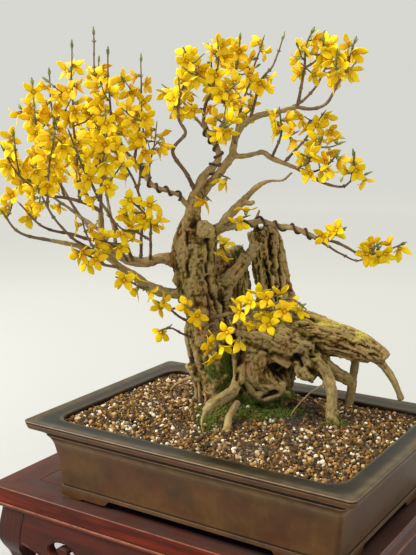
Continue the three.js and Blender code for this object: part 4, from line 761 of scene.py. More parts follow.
def baked_clay_grain(tree):
    """Baked clay in orange browns, with white pumice and dark lava among it: one colour a grain,
    crumbly and matte."""
    kind = stored(tree, "kind")
    colour = ramp(tree, kind, (0.0, "#533912"), (0.16, "#765320"), (0.31, "#946a2b"),
                  (0.44, "#422d10"), (0.58, "#a87e38"), (0.66, "#60431a"), (0.75, "#c09c60"),
                  (0.80, "#ece2c8"), (0.875, "#bda981"), (0.92, "#2a2319"), (0.965, "#7c705a"))
    colour.node.color_ramp.interpolation = "CONSTANT"
    place = own_place(tree)
    pores = mottle(tree, place, 1100, 3)
    tone = ramp(tree, pores, (0.35, 0.66), (0.62, 1.0))
    mixed = darken(tree, 0.8, colour, tone)
    # Painted shade under the roots, nearly black
    painted_shade = stored(tree, "painted_shade")
    shade_darkened = blend(tree, painted_shade, mixed, "#0f0903")
    bump = bumped(tree, pores, 0.5, 0.0006)
    return surface(tree, shade_darkened, 0.88, bump)


clay_grain = make_material("baked_clay_grain", baked_clay_grain)
kinds = chance.uniform(0, 1, count)
faces = (grain_faces[None] + (np.arange(count) * len(grain_points))[:, None, None]).reshape(-1, 3)
soil_grains = make_piece("soil_grains", (grains.reshape(-1, 3), faces.tolist()), clay_grain,
                         sharp=50)
mark(soil_grains, "kind", "FLOAT", np.repeat(kinds, len(grain_points)))
mark(soil_grains, "painted_shade", "FLOAT", shade_under_roots(grains.reshape(-1, 3)))

# Wood
# The living trunk, the hollowed dead stump behind it, root legs that the soil has been washed
# from, the arching surface root and the main limbs, all grown as one. Grey-brown bark over pale
# weathered deadwood.
# Each point is across, away and up from the tree's foot, seen from the tree's front, and a radius
LIMBS = {
    "main_trunk": [[-40, 2, -28, 24], [-44, 0, 7, 26.5], [-57, -6, 42, 26], [-71, -8, 87, 24.5],
        [-80, -8, 127, 23], [-89, -6, 162, 22], [-91, -5, 196, 23], [-91, -4, 221, 23],
        [-94, -2, 244, 12.5], [-90, 0, 265, 9], [-86, 0, 282, 8]],
    "left_stem": [[-97, -2, 146, 13], [-105, 2, 177, 13], [-109, 4, 208, 11.5], [-106, 4, 228, 9],
        [-99, 2, 249, 6.5]],
    "right_stem": [[-76, 0, 145, 11.5], [-76, 4, 184, 11.5], [-72, 4, 210, 10.5], [-73, 2, 228, 10],
        [-78, 0, 241, 6.5]],
    "dead_stump": [[17, 40, 73, 32.5], [17, 42, 114, 28], [12, 44, 155, 22.5], [7, 45, 189, 21.5],
        [4, 45, 213, 20], [-1, 46, 232, 18.5]],
    "stump_shard": [[-6, 44, 221, 8], [-8, 44, 240, 6.5], [-4, 44, 257, 1.5]],
    "mossy_stub": [[-31, 48, 134, 17.5], [-33, 50, 168, 15], [-34, 50, 194, 11.5],
        [-35, 50, 207, 8]],
    "dark_throat": [[-50, 30, 128, 20], [-55, 32, 162, 17], [-54, 34, 188, 14], [-52, 34, 203, 9]],
    "rough_stem": [[-43, 18, 107, 18.5], [-55, 14, 148, 14.5], [-50, 12, 166, 11.5],
        [-34, 12, 184, 9], [-21, 13, 200, 8], [-9, 15, 212, 6], [1, 17, 222, 3],
        [2, 18, 238, 2]],
    "saddle": [[-34, -14, 112, 13], [-12, -20, 106, 20], [14, -20, 96, 23], [40, -16, 86, 20],
        [58, -14, 80, 13]],
    "heart_of_base": [[-3, 16, -36, 32], [-3, 14, 16, 40], [-3, 12, 60, 50], [2, 16, 93, 47.5],
        [-2, 26, 122, 34.5]],
    "base_left": [[-65, 8, 35, 21], [-59, 8, 73, 21], [-51, 4, 104, 19.5]],
    "arm": [[10, 10, 95, 34], [41, 6, 97, 26], [69, 0, 95, 22], [94, -6, 91, 19.5],
        [117, -10, 85, 18], [137, -14, 76, 14], [153, -16, 69, 9]],
    "arm_upper_ridge": [[33, 14, 116, 15.5], [62, 8, 115, 9], [89, 0, 108, 7], [112, -8, 101, 7],
        [132, -12, 91, 6.5], [149, -16, 77, 6.5], [157, -17, 70, 4.5]],
    "arm_end_root": [[144, -15, 66, 6.5], [157, -18, 51, 5], [167, -22, 33, 4.5],
        [174, -26, 15, 4.5]],
    "dark_prop": [[118, -2, 79, 6.5], [118, 4, 58, 6], [117, 10, 36, 5.5], [114, 14, 8, 6],
        [113, 16, -12, 5]],
    "twisted_root": [[45, -6, 81, 17], [67, -12, 66, 13], [87, -12, 51, 9.5], [105, -8, 40, 8],
        [113, -4, 28, 5], [110, 0, 12, 4], [109, 2, -12, 3.5]],
    "front_right_leg": [[58, -22, 67, 13], [73, -36, 55, 9], [80, -50, 38, 7], [79, -60, 18, 7],
        [81, -66, -1, 8.5], [82, -68, -16, 7]],
    "knot_burl": [[43, -24, 73, 11.5], [50, -30, 56, 13], [62, -34, 49, 7.5]],
    "loop_root": [[-6, -26, 82, 10], [-17, -34, 66, 9], [-12, -38, 47, 7.5], [6, -38, 38, 7],
        [22, -34, 36, 5.5]],
    "loop_cap": [[-3, -26, 84, 10], [12, -30, 75, 9], [27, -28, 63, 7.5]],
    "loop_left": [[-21, -22, 81, 11.5], [-28, -26, 58, 11.5], [-24, -26, 34, 11.5],
        [-13, -20, 13, 11.5], [-8, -18, -14, 10]],
    "low_front_root": [[-19, -30, 22, 6.5], [-2, -38, 27, 7.5], [19, -34, 31, 6.5],
        [33, -26, 23, 5]],
    "front_left_leg": [[-34, -24, 84, 10], [-36, -34, 61, 7.5], [-40, -46, 44, 7.5],
        [-53, -60, 35, 7], [-69, -74, 30, 7], [-79, -84, 23, 5]],
    "front_toe": [[-77, -82, 26, 3.5], [-83, -90, 15, 2], [-83, -96, 5, 1.5], [-77, -98, -8, 1.5],
        [-74, -100, -16, 1.5]],
    "far_front_root": [[-38, -60, 27, 5], [-49, -80, 16, 4.5], [-54, -96, 4, 4], [-69, -106, -5, 3],
        [-88, -104, -10, 2]],
    "left_prop": [[-98, 6, 120, 4], [-102, 10, 98, 4], [-98, 12, 75, 4.5], [-95, 16, 52, 5.5],
        [-91, 20, 26, 4], [-90, 22, -10, 3.5]],
    "left_prop_b": [[-88, 2, 116, 4], [-91, 4, 91, 4], [-89, 6, 63, 4], [-87, 6, 36, 3],
        [-86, 6, 6, 2.5], [-86, 6, -12, 2.5]],
    "left_knob": [[-96, 14, 58, 10.5], [-88, 14, 42, 10.5], [-75, 12, 28, 10.5]],
    "left_root": [[-67, -2, 60, 4.5], [-79, 6, 47, 4], [-93, 30, 33, 3], [-108, 52, 22, 2.5],
        [-124, 72, 6, 2], [-130, 80, -6, 1.5]],
    "left_peg": [[-80, 0, 57, 3], [-77, -4, 36, 3], [-78, -6, 10, 2.5], [-78, -8, -10, 2]],
    "mid_peg": [[-56, -14, 95, 4], [-54, -20, 70, 3], [-53, -24, 42, 3]],
    "thin_right_root": [[73, -46, 45, 2], [55, -50, 36, 1.5], [41, -52, 23, 1.5], [30, -52, 8, 1.5],
        [26, -52, -8, 1.5]],
    "lower_left_limb": [[-89, -6, 160, 9], [-107, -8, 156, 7.5], [-127, -14, 158, 6.5],
        [-147, -20, 167, 6], [-164, -24, 181, 5.5], [-181, -28, 193, 4.5], [-197, -32, 207, 4],
        [-218, -38, 218, 3.5], [-241, -46, 227, 3], [-264, -54, 233, 2.5]],
    "middle_left_limb": [[-96, 0, 187, 9], [-114, 2, 195, 8.5], [-131, 6, 200, 7],
        [-148, 10, 194, 6.5], [-169, 14, 194, 6.5], [-190, 16, 202, 5.5], [-207, 14, 216, 4.5],
        [-210, 12, 239, 4], [-209, 10, 260, 3.5]],
    "fork_left_limb": [[-87, 0, 271, 5], [-100, -3, 270, 3.5], [-107, -6, 280, 3],
        [-122, -8, 287, 3], [-136, -8, 291, 3], [-146, -6, 299, 3.5], [-154, -2, 312, 3.5],
        [-164, 4, 324, 3]],
    "centre_limb": [[-87, 0, 278, 7.5], [-82, -2, 292, 6.5], [-75, -4, 306, 5.5],
        [-65, -6, 316, 4.5], [-58, -6, 327, 4], [-60, -4, 340, 4], [-67, 0, 351, 4],
        [-73, 4, 361, 4], [-76, 6, 375, 3]],
    "right_limb": [[-85, 2, 275, 7.5], [-73, 6, 290, 6.5], [-61, 10, 302, 5.5], [-50, 14, 316, 5.5],
        [-41, 16, 329, 5], [-37, 16, 348, 5], [-30, 14, 363, 4.5], [-19, 12, 373, 4.5],
        [-3, 10, 379, 4], [19, 6, 383, 3.5], [40, 2, 388, 3]],
    "right_shoulder": [[-78, 0, 226, 10], [-67, -2, 235, 8.5], [-55, -4, 241, 7.5],
        [-45, -6, 255, 6.5], [-32, -4, 268, 5.5], [-23, 0, 277, 4.5]],
    "long_right_limb": [[-62, -4, 239, 5.5], [-42, -4, 240, 4.5], [-22, 2, 243, 4], [-3, 6, 246, 4],
        [14, 2, 240, 4], [34, -6, 238, 3.5], [48, -12, 233, 3.5], [63, -18, 226, 3]],
    "right_middle_limb": [[-41, 16, 328, 4], [-26, 10, 328, 3.5], [-11, 2, 331, 3],
        [-3, -4, 333, 3.5], [8, -10, 326, 3.5], [22, -16, 320, 3], [37, -22, 314, 2.5]],
    "shoulder_twig": [[-23, 0, 277, 4], [-9, -8, 292, 3.5], [5, -14, 298, 2.5], [21, -18, 299, 2],
        [32, -20, 309, 1.5]],
    "shoulder_stub": [[-28, -2, 272, 3.5], [-21, -12, 270, 3.5], [-14, -18, 273, 2.5]],
    "trunk_knuckle": [[-83, -4, 234, 15], [-75, -18, 236, 12.5], [-73, -24, 238, 8.5]],
}
# How weathered each limb is, from live bark at 0 to bare deadwood at 1
DEAD_LIMBS = {"dead_stump": 1, "stump_shard": 1, "arm_upper_ridge": 0.9, "arm": 0.7,
              "mossy_stub": 0.7, "knot_burl": 0.5, "arm_end_root": 0.3, "loop_cap": 0.5,
              "heart_of_base": 0.4, "saddle": 0.35, "loop_root": 0.3, "twisted_root": 0.4,
              "base_left": 0.15}
WOOD_GRAIN = 1.75
# How high burrs, knobs and scales stand, and how deep grooves, fibres and rings are cut
BURR, KNOB, SCALE = 3.2, 1.8, 0.9
GROOVE, FIBRE, RING = 2.5, 1.0, 1.1
LOWEST, HIGHEST = -18, 7
# Each kind of relief: how close its noise is, in turns a millimetre, and what sets it apart
FIELDS = {"warp": (0.03, 40.0), "grooves": (0.115, 3.1), "fibres": (0.3, 9.7, 2),
          "burrs": (0.05, 5.3), "knobs": (0.085, 61.0), "scales": (0.2, 1.7),
          "rings": (0.17, 77.0, 2), "ragged": (0.12, 21.0)}
# Relief is drawn out along a limb by this, wanders this far, and fades this near to another limb
ALONG_GRAIN, WARP, CLEAR_REACH = 0.13, 5, 7
# Each limb's relief is taken from noise this far from the next limb's
LIMB_APART = 37
# How far the cut grooves wander from their paths
WANDER = 4
# How many rounds of evening show what lies in a crack, and then what lies in a hollow
CRACK_ROUNDS, HOLLOW_ROUNDS = 3, 40
# A sample's columns: its place, radius, run along the limb, two sides, limb number, and how dead
RADIUS, RUN, SIDE, OTHER, LIMB, DEAD = 3, 4, slice(5, 8), slice(8, 11), 11, 12

limb_shells, limb_samples = [], []
for number, (name, points) in enumerate(LIMBS.items()):
    mean = sum(point[3] for point in points) / len(points)
    length = sum(math.dist(a[:3], b[:3]) for a, b in zip(points, points[1:]))
    shares = np.linspace(0, 1, max(6, int(length / 4)))
    course = along_curve(points, shares)
    sides = 24 if mean > 12 else 16
    turn = np.linspace(0, 2 * math.pi, sides, endpoint=False)
    lobes = 0.1 if mean > 6 else 0.05
    swell = 1 + lobes * np.sin(3 * turn[None] + 5 * shares[:, None] + len(points))
    shell_points, shell_faces, frames = tube(course[:, :3], 1, sides)
    middles = np.repeat(course[:, :3], sides, axis=0)
    reach = (course[:, 3:4] * swell).reshape(-1, 1)
    limb_shells.append((middles + (shell_points - middles) * reach, shell_faces))
    runs = np.concatenate([[0], np.cumsum(np.linalg.norm(np.diff(course[:, :3], axis=0), axis=1))])
    for place, run, (side, other) in zip(course, runs, frames):
        limb_samples.append([*place, run, *side, *other, number, DEAD_LIMBS.get(name, 0)])
limb_samples = np.array(limb_samples)

tree_points, tree_faces = together(limb_shells)
wood = make_piece("trunk_and_limbs", (in_tree(tree_points), tree_faces), clay_grain,
                  ["wood"])
remesh = wood.modifiers.new("grow_together", "REMESH")
remesh.mode = "VOXEL"
remesh.voxel_size = WOOD_GRAIN / 1000
smooth = wood.modifiers.new("soften", "SMOOTH")
smooth.factor = 0.5
smooth.iterations = 2
apply_modifiers(wood)


def turned_to_tree(vectors):
    """Directions in the tree's own frame."""
    cos, sin = math.cos(TREE_TURN), math.sin(TREE_TURN)
    return np.column_stack([vectors[:, 0] * cos + vectors[:, 1] * sin,
                            -vectors[:, 0] * sin + vectors[:, 1] * cos, vectors[:, 2]])


grown = np.array([v.co for v in wood.data.vertices])
skin_points = turned_to_tree((grown - RIM_MIDDLE) * 1000 - TREE_FOOT)
skin_normals = turned_to_tree(np.array([v.normal for v in wood.data.vertices]))

# For each place on the skin: the nearest sample of a limb, and how clear it is of other limbs,
# worked out for a block of places at a time
BLOCK = 4000
NO_OTHER_LIMB = 99
nearest = np.zeros(len(skin_points), int)
clear = np.zeros(len(skin_points))
for start in range(0, len(skin_points), BLOCK):
    block = skin_points[start:start + BLOCK]
    away = np.linalg.norm(block[:, None] - limb_samples[None, :, :3], axis=2)
    away -= limb_samples[:, RADIUS]
    best = away.argmin(axis=1)
    nearest[start:start + BLOCK] = best
    own = limb_samples[best, LIMB]
    away[limb_samples[None, :, LIMB] == own[:, None]] = NO_OTHER_LIMB
    clear[start:start + BLOCK] = away.min(axis=1)
here = limb_samples[nearest]
out = skin_points - here[:, :3]
around = np.column_stack([(out * here[:, SIDE]).sum(axis=1), (out * here[:, OTHER]).sum(axis=1)])
dead, radius = here[:, DEAD], here[:, RADIUS]
on_limb = np.column_stack([around, here[:, RUN]]) + here[:, LIMB, None] * LIMB_APART
clear = np.clip(clear / CLEAR_REACH, 0.25, 1)


def field(points, scale, seed=0.0, detail=3):
    """Fractal noise from -1 to 1 at places in millimetres."""
    scaled = np.asarray(points) * scale + seed
    return np.array([noise.fractal(point, 1.0, 2.0, detail) for point in scaled])


def veins(values):
    """Sharp valleys between round ridges."""
    return 1 - 2 * np.minimum(1, np.abs(values) * 2.2)


stretched = on_limb * [1, 1, ALONG_GRAIN]
warp = field(skin_points, *FIELDS["warp"])
stretched[:, :2] += WARP * np.column_stack([warp, -warp])
grooves = veins(field(stretched, *FIELDS["grooves"]))
fibres = veins(field(stretched * [1, 1, 0.7], *FIELDS["fibres"]))
burrs = field(skin_points, *FIELDS["burrs"])
knobs = np.clip(field(skin_points, *FIELDS["knobs"]), 0, 1)
scales = field(skin_points * [1, 1, 1.3], *FIELDS["scales"])
big = np.clip(radius / 14, 0.12, 1)
rings = veins(field(on_limb * [0.4, 0.4, 1.0], *FIELDS["rings"]))
relief = big * (BURR * burrs + KNOB * knobs + SCALE * scales) * np.where(dead > 0.5, 0.7, 1)
relief -= big * clear * (0.3 + GROOVE * dead) * np.clip(grooves, -0.5, 1)
relief += np.minimum(big, 0.6) * clear * (0.15 + FIBRE * dead) * fibres
relief -= np.minimum(big, 0.5) * (1 - dead) * RING * np.clip(rings, -0.3, 1)

# Hollows: where, how wide and how deep
HOLLOWS = [
    ((-70, -26, 156), (4, 9, 22), 7), ((-46, -20, 92), (7, 10, 14), 5),
    ((22, 14, 190), (4, 10, 40), 8), ((6, 18, 170), (4, 10, 50), 8), ((-8, 18, 180), (3, 10, 34), 6),
    ((34, 24, 150), (4, 10, 36), 6), ((-2, 40, 234), (11, 11, 14), 9), ((-30, -26, 36), (7, 12, 16), 6),
    ((60, -30, 64), (5, 8, 6), 5), ((-64, -26, 236), (7, 7, 4), 3),
]
# Grooves, and rolled lips that stand proud: the places they pass, how wide and how deep
STROKES = [
    ([(1, -33, 64), (13, -28, 58), (26, -24, 52), (34, -20, 52)], 8.5, 17),
    ([(-13, -32, 84), (-15, -36, 68), (-12, -38, 54), (-4, -42, 42), (6, -42, 35)], 2.6, 4),
    ([(-6, -36, 82), (-6, -35, 68), (-2, -34, 55), (8, -37, 45), (22, -38, 40)], 3.6, -5.5),
    ([(-17, -24, 88), (-26, -32, 73), (-28, -36, 56), (-24, -38, 41), (-12, -39, 29)], 6.5, -4.5),
    ([(-32, -32, 88), (-36, -37, 72), (-37, -46, 55), (-30, -36, 34)], 3.6, 8),
    ([(-13, -32, 16), (-2, -44, 28), (13, -41, 31), (30, -24, 36)], 3.4, 8),
    ([(-10, -30, 8), (2, -30, 14), (18, -28, 15)], 4.5, 9),
    ([(-4, -30, 100), (18, -30, 92), (34, -32, 80), (42, -36, 66)], 3.2, 6),
    ([(8, -26, 104), (30, -24, 98), (48, -26, 88), (62, -30, 76)], 2.6, 5),
    ([(-3, 14, 222), (2, 22, 190), (8, 22, 153), (4, 26, 128)], 3.2, 7),
    ([(10, 28, 224), (12, 26, 189), (17, 20, 146), (20, 16, 126)], 2.8, 8),
    ([(18, 38, 219), (22, 31, 188), (24, 24, 152), (26, 20, 132)], 3.4, 9),
    ([(4, 22, 222), (7, 24, 189), (12, 21, 150)], 2.4, -3.5),
    ([(-73, -20, 178), (-69, -14, 158), (-62, -12, 140), (-54, -16, 118)], 3.4, 9),
    ([(-98, -18, 236), (-96, -27, 214), (-99, -27, 190), (-101, -22, 168)], 3.0, 5),
    ([(-75, -21, 228), (-72, -17, 206), (-73, -18, 188)], 3.0, 6),
    ([(-78, -26, 120), (-70, -30, 96), (-66, -28, 66)], 3.4, 5),
    ([(-86, -24, 140), (-84, -28, 112), (-84, -26, 84), (-84, -18, 56)], 2.8, 4),
    ([(-43, -12, 102), (-39, -32, 87), (-40, -38, 70)], 3.0, 6),
    ([(44, -15, 112), (68, -12, 108), (90, -20, 100), (112, -24, 90)], 2.6, 5),
    ([(34, -20, 100), (62, -22, 98), (88, -26, 88), (116, -28, 76)], 2.6, 5),
    ([(52, 0, 120), (80, -6, 113), (104, -14, 104), (128, -20, 92)], 2.4, 5),
    ([(60, -4, 120), (84, -10, 112), (106, -18, 101)], 2.4, -3),
    ([(48, -40, 72), (54, -42, 62), (64, -44, 52)], 2.6, 5),
]


def nearness(places, middle, spread):
    """From 1 at the middle of a soft-edged spot to 0 far from it."""
    return np.exp(-(((places - middle) / spread) ** 2).sum(axis=1))


for middle, spread, depth in HOLLOWS:
    relief -= depth * nearness(skin_points, middle, spread)
wander = np.column_stack([field(skin_points, 0.06, seed, 2) for seed in (11.0, 23.0, 37.0)])
wander *= WANDER
for path, wide, depth in STROKES:
    course = along_curve(path, np.linspace(0, 1, 12 * len(path)))
    beside = np.full(len(skin_points), 99.0)
    for place in course:
        beside = np.minimum(beside, np.linalg.norm(skin_points + wander - place, axis=1))
    relief -= depth * np.exp(-(beside / wide) ** 2)
on_rough_stem = here[:, LIMB] == list(LIMBS).index("rough_stem")
relief += on_rough_stem * 0.9 * np.sin(1.35 * here[:, RUN] + around[:, 0] * 0.35 + 3 * burrs)
relief = np.clip(relief, LOWEST, HIGHEST)
shaped = skin_points + skin_normals * relief[:, None]
rim_frame = in_tree(shaped)
wood.data.vertices.foreach_set("co", (RIM_MIDDLE + rim_frame / 1000).ravel())
wood.data.update()


def patches(spots):
    """How much each place on the skin is covered by soft-edged patches."""
    cover = np.zeros(len(shaped))
    for middle, spread, amount in spots:
        cover = np.maximum(cover, amount * nearness(shaped, middle, spread))
    return cover


MOSS_ON_WOOD = [((-54, -24, 56), (14, 14, 34), 1.35), ((-66, -30, 60), (14, 14, 30), 1.0),
                ((-30, -34, 16), (30, 26, 18), 1.4), ((10, -36, 12), (34, 22, 13), 1.4),
                ((28, -26, 26), (12, 16, 14), 1.1), ((-34, 46, 196), (14, 14, 26), 0.9),
                ((-64, -66, 30), (16, 16, 8), 0.7), ((84, -66, 2), (12, 10, 10), 1.0)]
LICHEN_ON_WOOD = [((88, -6, 114), (32, 16, 7), 1.5), ((124, -15, 100), (26, 14, 8), 1.4),
                  ((64, 4, 120), (12, 12, 6), 0.6), ((150, -18, 76), (12, 10, 10), 0.5)]
ragged = field(skin_points, *FIELDS["ragged"])
moss_cover = np.clip(patches(MOSS_ON_WOOD) + 0.7 * ragged - 0.25, 0, 1)
lichen_cover = np.clip(patches(LICHEN_ON_WOOD) + 0.8 * ragged - 0.35, 0, 1)
joined = np.zeros(2 * len(wood.data.edges), np.int32)
wood.data.edges.foreach_get("vertices", joined)
joined = joined.reshape(-1, 2)
ends = np.concatenate([joined, joined[:, ::-1]])
valence = np.bincount(ends[:, 0], minlength=len(shaped))[:, None]


def evened(values, rounds):
    """Places on the skin, each drawn to the middle of its neighbours a number of times."""
    for _ in range(rounds):
        values = np.column_stack([np.bincount(ends[:, 0], column[ends[:, 1]], len(values))
                                  for column in values.T]) / valence
    return values


# How deep each place lies below what is round it: closely for cracks, widely for hollows
near_even = evened(shaped, CRACK_ROUNDS)
wide_even = evened(near_even, HOLLOW_ROUNDS)
crack = ((near_even - shaped) * skin_normals).sum(axis=1)
sunk = ((wide_even - shaped) * skin_normals).sum(axis=1)
# A shade for the bark's colour to paint: low on ridges, high in cracks and hollows
shade = np.clip(0.3 + (0.3 + 0.15 * dead) * crack + 0.13 * sunk - 0.01 * relief, 0, 1)


def bark_and_deadwood(tree):
    """Forsythia bark, grey-brown with warts and shallow furrows, over silvery deadwood with dark
    checks along the grain. Painted shade darkens the cracks and hollows and a painted highlight
    pales the ridges. Green moss low down and a yellow lichen along the arching root."""
    place = own_place(tree)
    run = stored(tree, "on_limb", "Vector")
    cover = stored(tree, "cover", "Color")
    amounts = add(tree, "SeparateColor", {0: cover}, "Red").node
    fibre = mottle(tree, run, 150, 5, 0.6)
    blotch = mottle(tree, place, 42, 6, 0.65)
    bark = ramp(tree, blotch, (0.28, "#533914"), (0.44, "#7c5e28"), (0.6, "#a38542"),
                (0.78, "#caae6a"))
    cast = mottle(tree, place, 19, 3)
    hue = ramp(tree, cast, (0.36, "#e6b78e"), (0.48, "#ffffff"), (0.6, "#d6dca6"))
    threads = mottle(tree, run, 460, 3, 0.7)
    around = add(tree, "Mapping", {0: run, 3: (0.3, 0.3, 5.5)})
    rings = mottle(tree, around, 320, 3)
    streak = ramp(tree, rings, (0.36, 0.3), (0.56, 1.0))
    toned = darken(tree, 0.85, bark, hue)
    barked = darken(tree, 0.6, toned, streak)
    silver = ramp(tree, fibre, (0.28, "#4a3312"), (0.42, "#866732"), (0.6, "#b69550"),
                  (0.78, "#dcc487"))
    stained = darken(tree, 0.85, silver, hue)
    thready = ramp(tree, threads, (0.34, 0.4), (0.6, 1.0))
    mixed = blend(tree, amounts.outputs["Red"], barked, stained)
    # Painted highlight on ridges and painted shade in cracks and hollows
    hollow = stored(tree, "hollow")
    ridge_highlight = ranged(tree, hollow, 0.0, 0.26, 0.4, 0)
    pale_patches = blend(tree, ridge_highlight, mixed, "#cdb98a")
    aged = darken(tree, 0.7, pale_patches, thready)
    depth = ramp(tree, hollow, (0.12, 1.0), (0.4, 0.62), (0.62, 0.26), (0.95, 0.05))
    deep = darken(tree, 1.0, aged, depth)
    fine = mottle(tree, place, 420, 4)
    green = ramp(tree, fine, (0.3, "#161f03"), (0.5, "#3a4c08"), (0.7, "#6e8414"))
    mossy = blend(tree, amounts.outputs["Green"], deep, green)
    crust = ramp(tree, fine, (0.35, "#96892e"), (0.62, "#dccb68"))
    colour = blend(tree, amounts.outputs["Blue"], mossy, crust)
    height = add(tree, "Math", {0: threads, 1: fine}, operation="ADD")
    bump = bumped(tree, height, 0.55, 0.0012)
    return surface(tree, colour, 0.85, bump, {"Specular IOR Level": 0.18})


bark = make_material("forsythia_bark_and_deadwood", bark_and_deadwood)
wood.data.materials.clear()
wood.data.materials.append(bark)
wood.data.shade_smooth()
mark(wood, "on_limb", "FLOAT_VECTOR", on_limb * [0.001, 0.001, 0.00018])
mark(wood, "hollow", "FLOAT", shade)
mark(wood, "cover", "FLOAT_COLOR", np.column_stack([
    np.clip(dead * 0.9 + 0.25 * ragged, 0, 1), moss_cover, lichen_cover, np.ones(len(shaped))]))

# Training wires
# Soft brown-anodised aluminium wire, wound round three limbs to set them and bedded into the bark.
WIRE_RADIUS = 1.6
WIRE_TURNS = 5
WIRE_STEPS = 18
# Each wire: the limb it is on, where it starts and ends along it, and its first turn
WIRES = {"left": ("fork_left_limb", 0.22, 0.92, 0), "centre": ("centre_limb", 0.3, 0.88, 1),
         "right": ("long_right_limb", 0.18, 0.95, 2)}


def brown_anodised(tree):
    """Anodised aluminium dyed brown: a dull even sheen that hides the metal."""
    place = own_place(tree)
    scuffs = mottle(tree, place, 240, 4)
    tone = ramp(tree, scuffs, (0.35, "#2b1f18"), (0.7, "#4c3a2c"))
    rough = ranged(tree, scuffs, 0, 1, 0.36, 0.6)
    return surface(tree, tone, rough, None, {"Metallic": 0.25})


anodised_wire = make_material("brown_anodised_wire", brown_anodised)
for name, (limb, start, end, first_turn) in WIRES.items():
    shares = np.linspace(start, end, WIRE_TURNS * WIRE_STEPS)
    course = along_curve(LIMBS[limb], shares)
    frames = tube(course[:, :3], 1, 4)[2]
    angles = first_turn + np.linspace(0, WIRE_TURNS * 2 * math.pi, len(shares))
    reach = course[:, 3] * 1.02 + WIRE_RADIUS * 0.75
    winding = np.array([place[:3] + away * (math.cos(angle) * side + math.sin(angle) * other)
                        for place, away, angle, (side, other)
                        in zip(course, reach, angles, frames)])
    points, faces, _ = tube(winding, WIRE_RADIUS, 10)
    make_piece(f"training_wire_{name}", (in_tree(points), faces), anodised_wire,
               [f"training_wire_{name}"])

# Twigs
# Young wood of the last few years, reddish brown with raised pores, in arching stems with short
# side shoots. Buds stand on them in opposite pairs.
# Each spray has a seed and its stems. Each stem has its line in the tree's own frame, the radius at
# its two ends, the number of side shoots, how far they reach, how steeply they rise, and where
# along it they and the flowers start.
Stem = namedtuple("Stem", "line thick shoots reach lift start")
BUD_STEP = 17
FIRST_BUD = 8.5
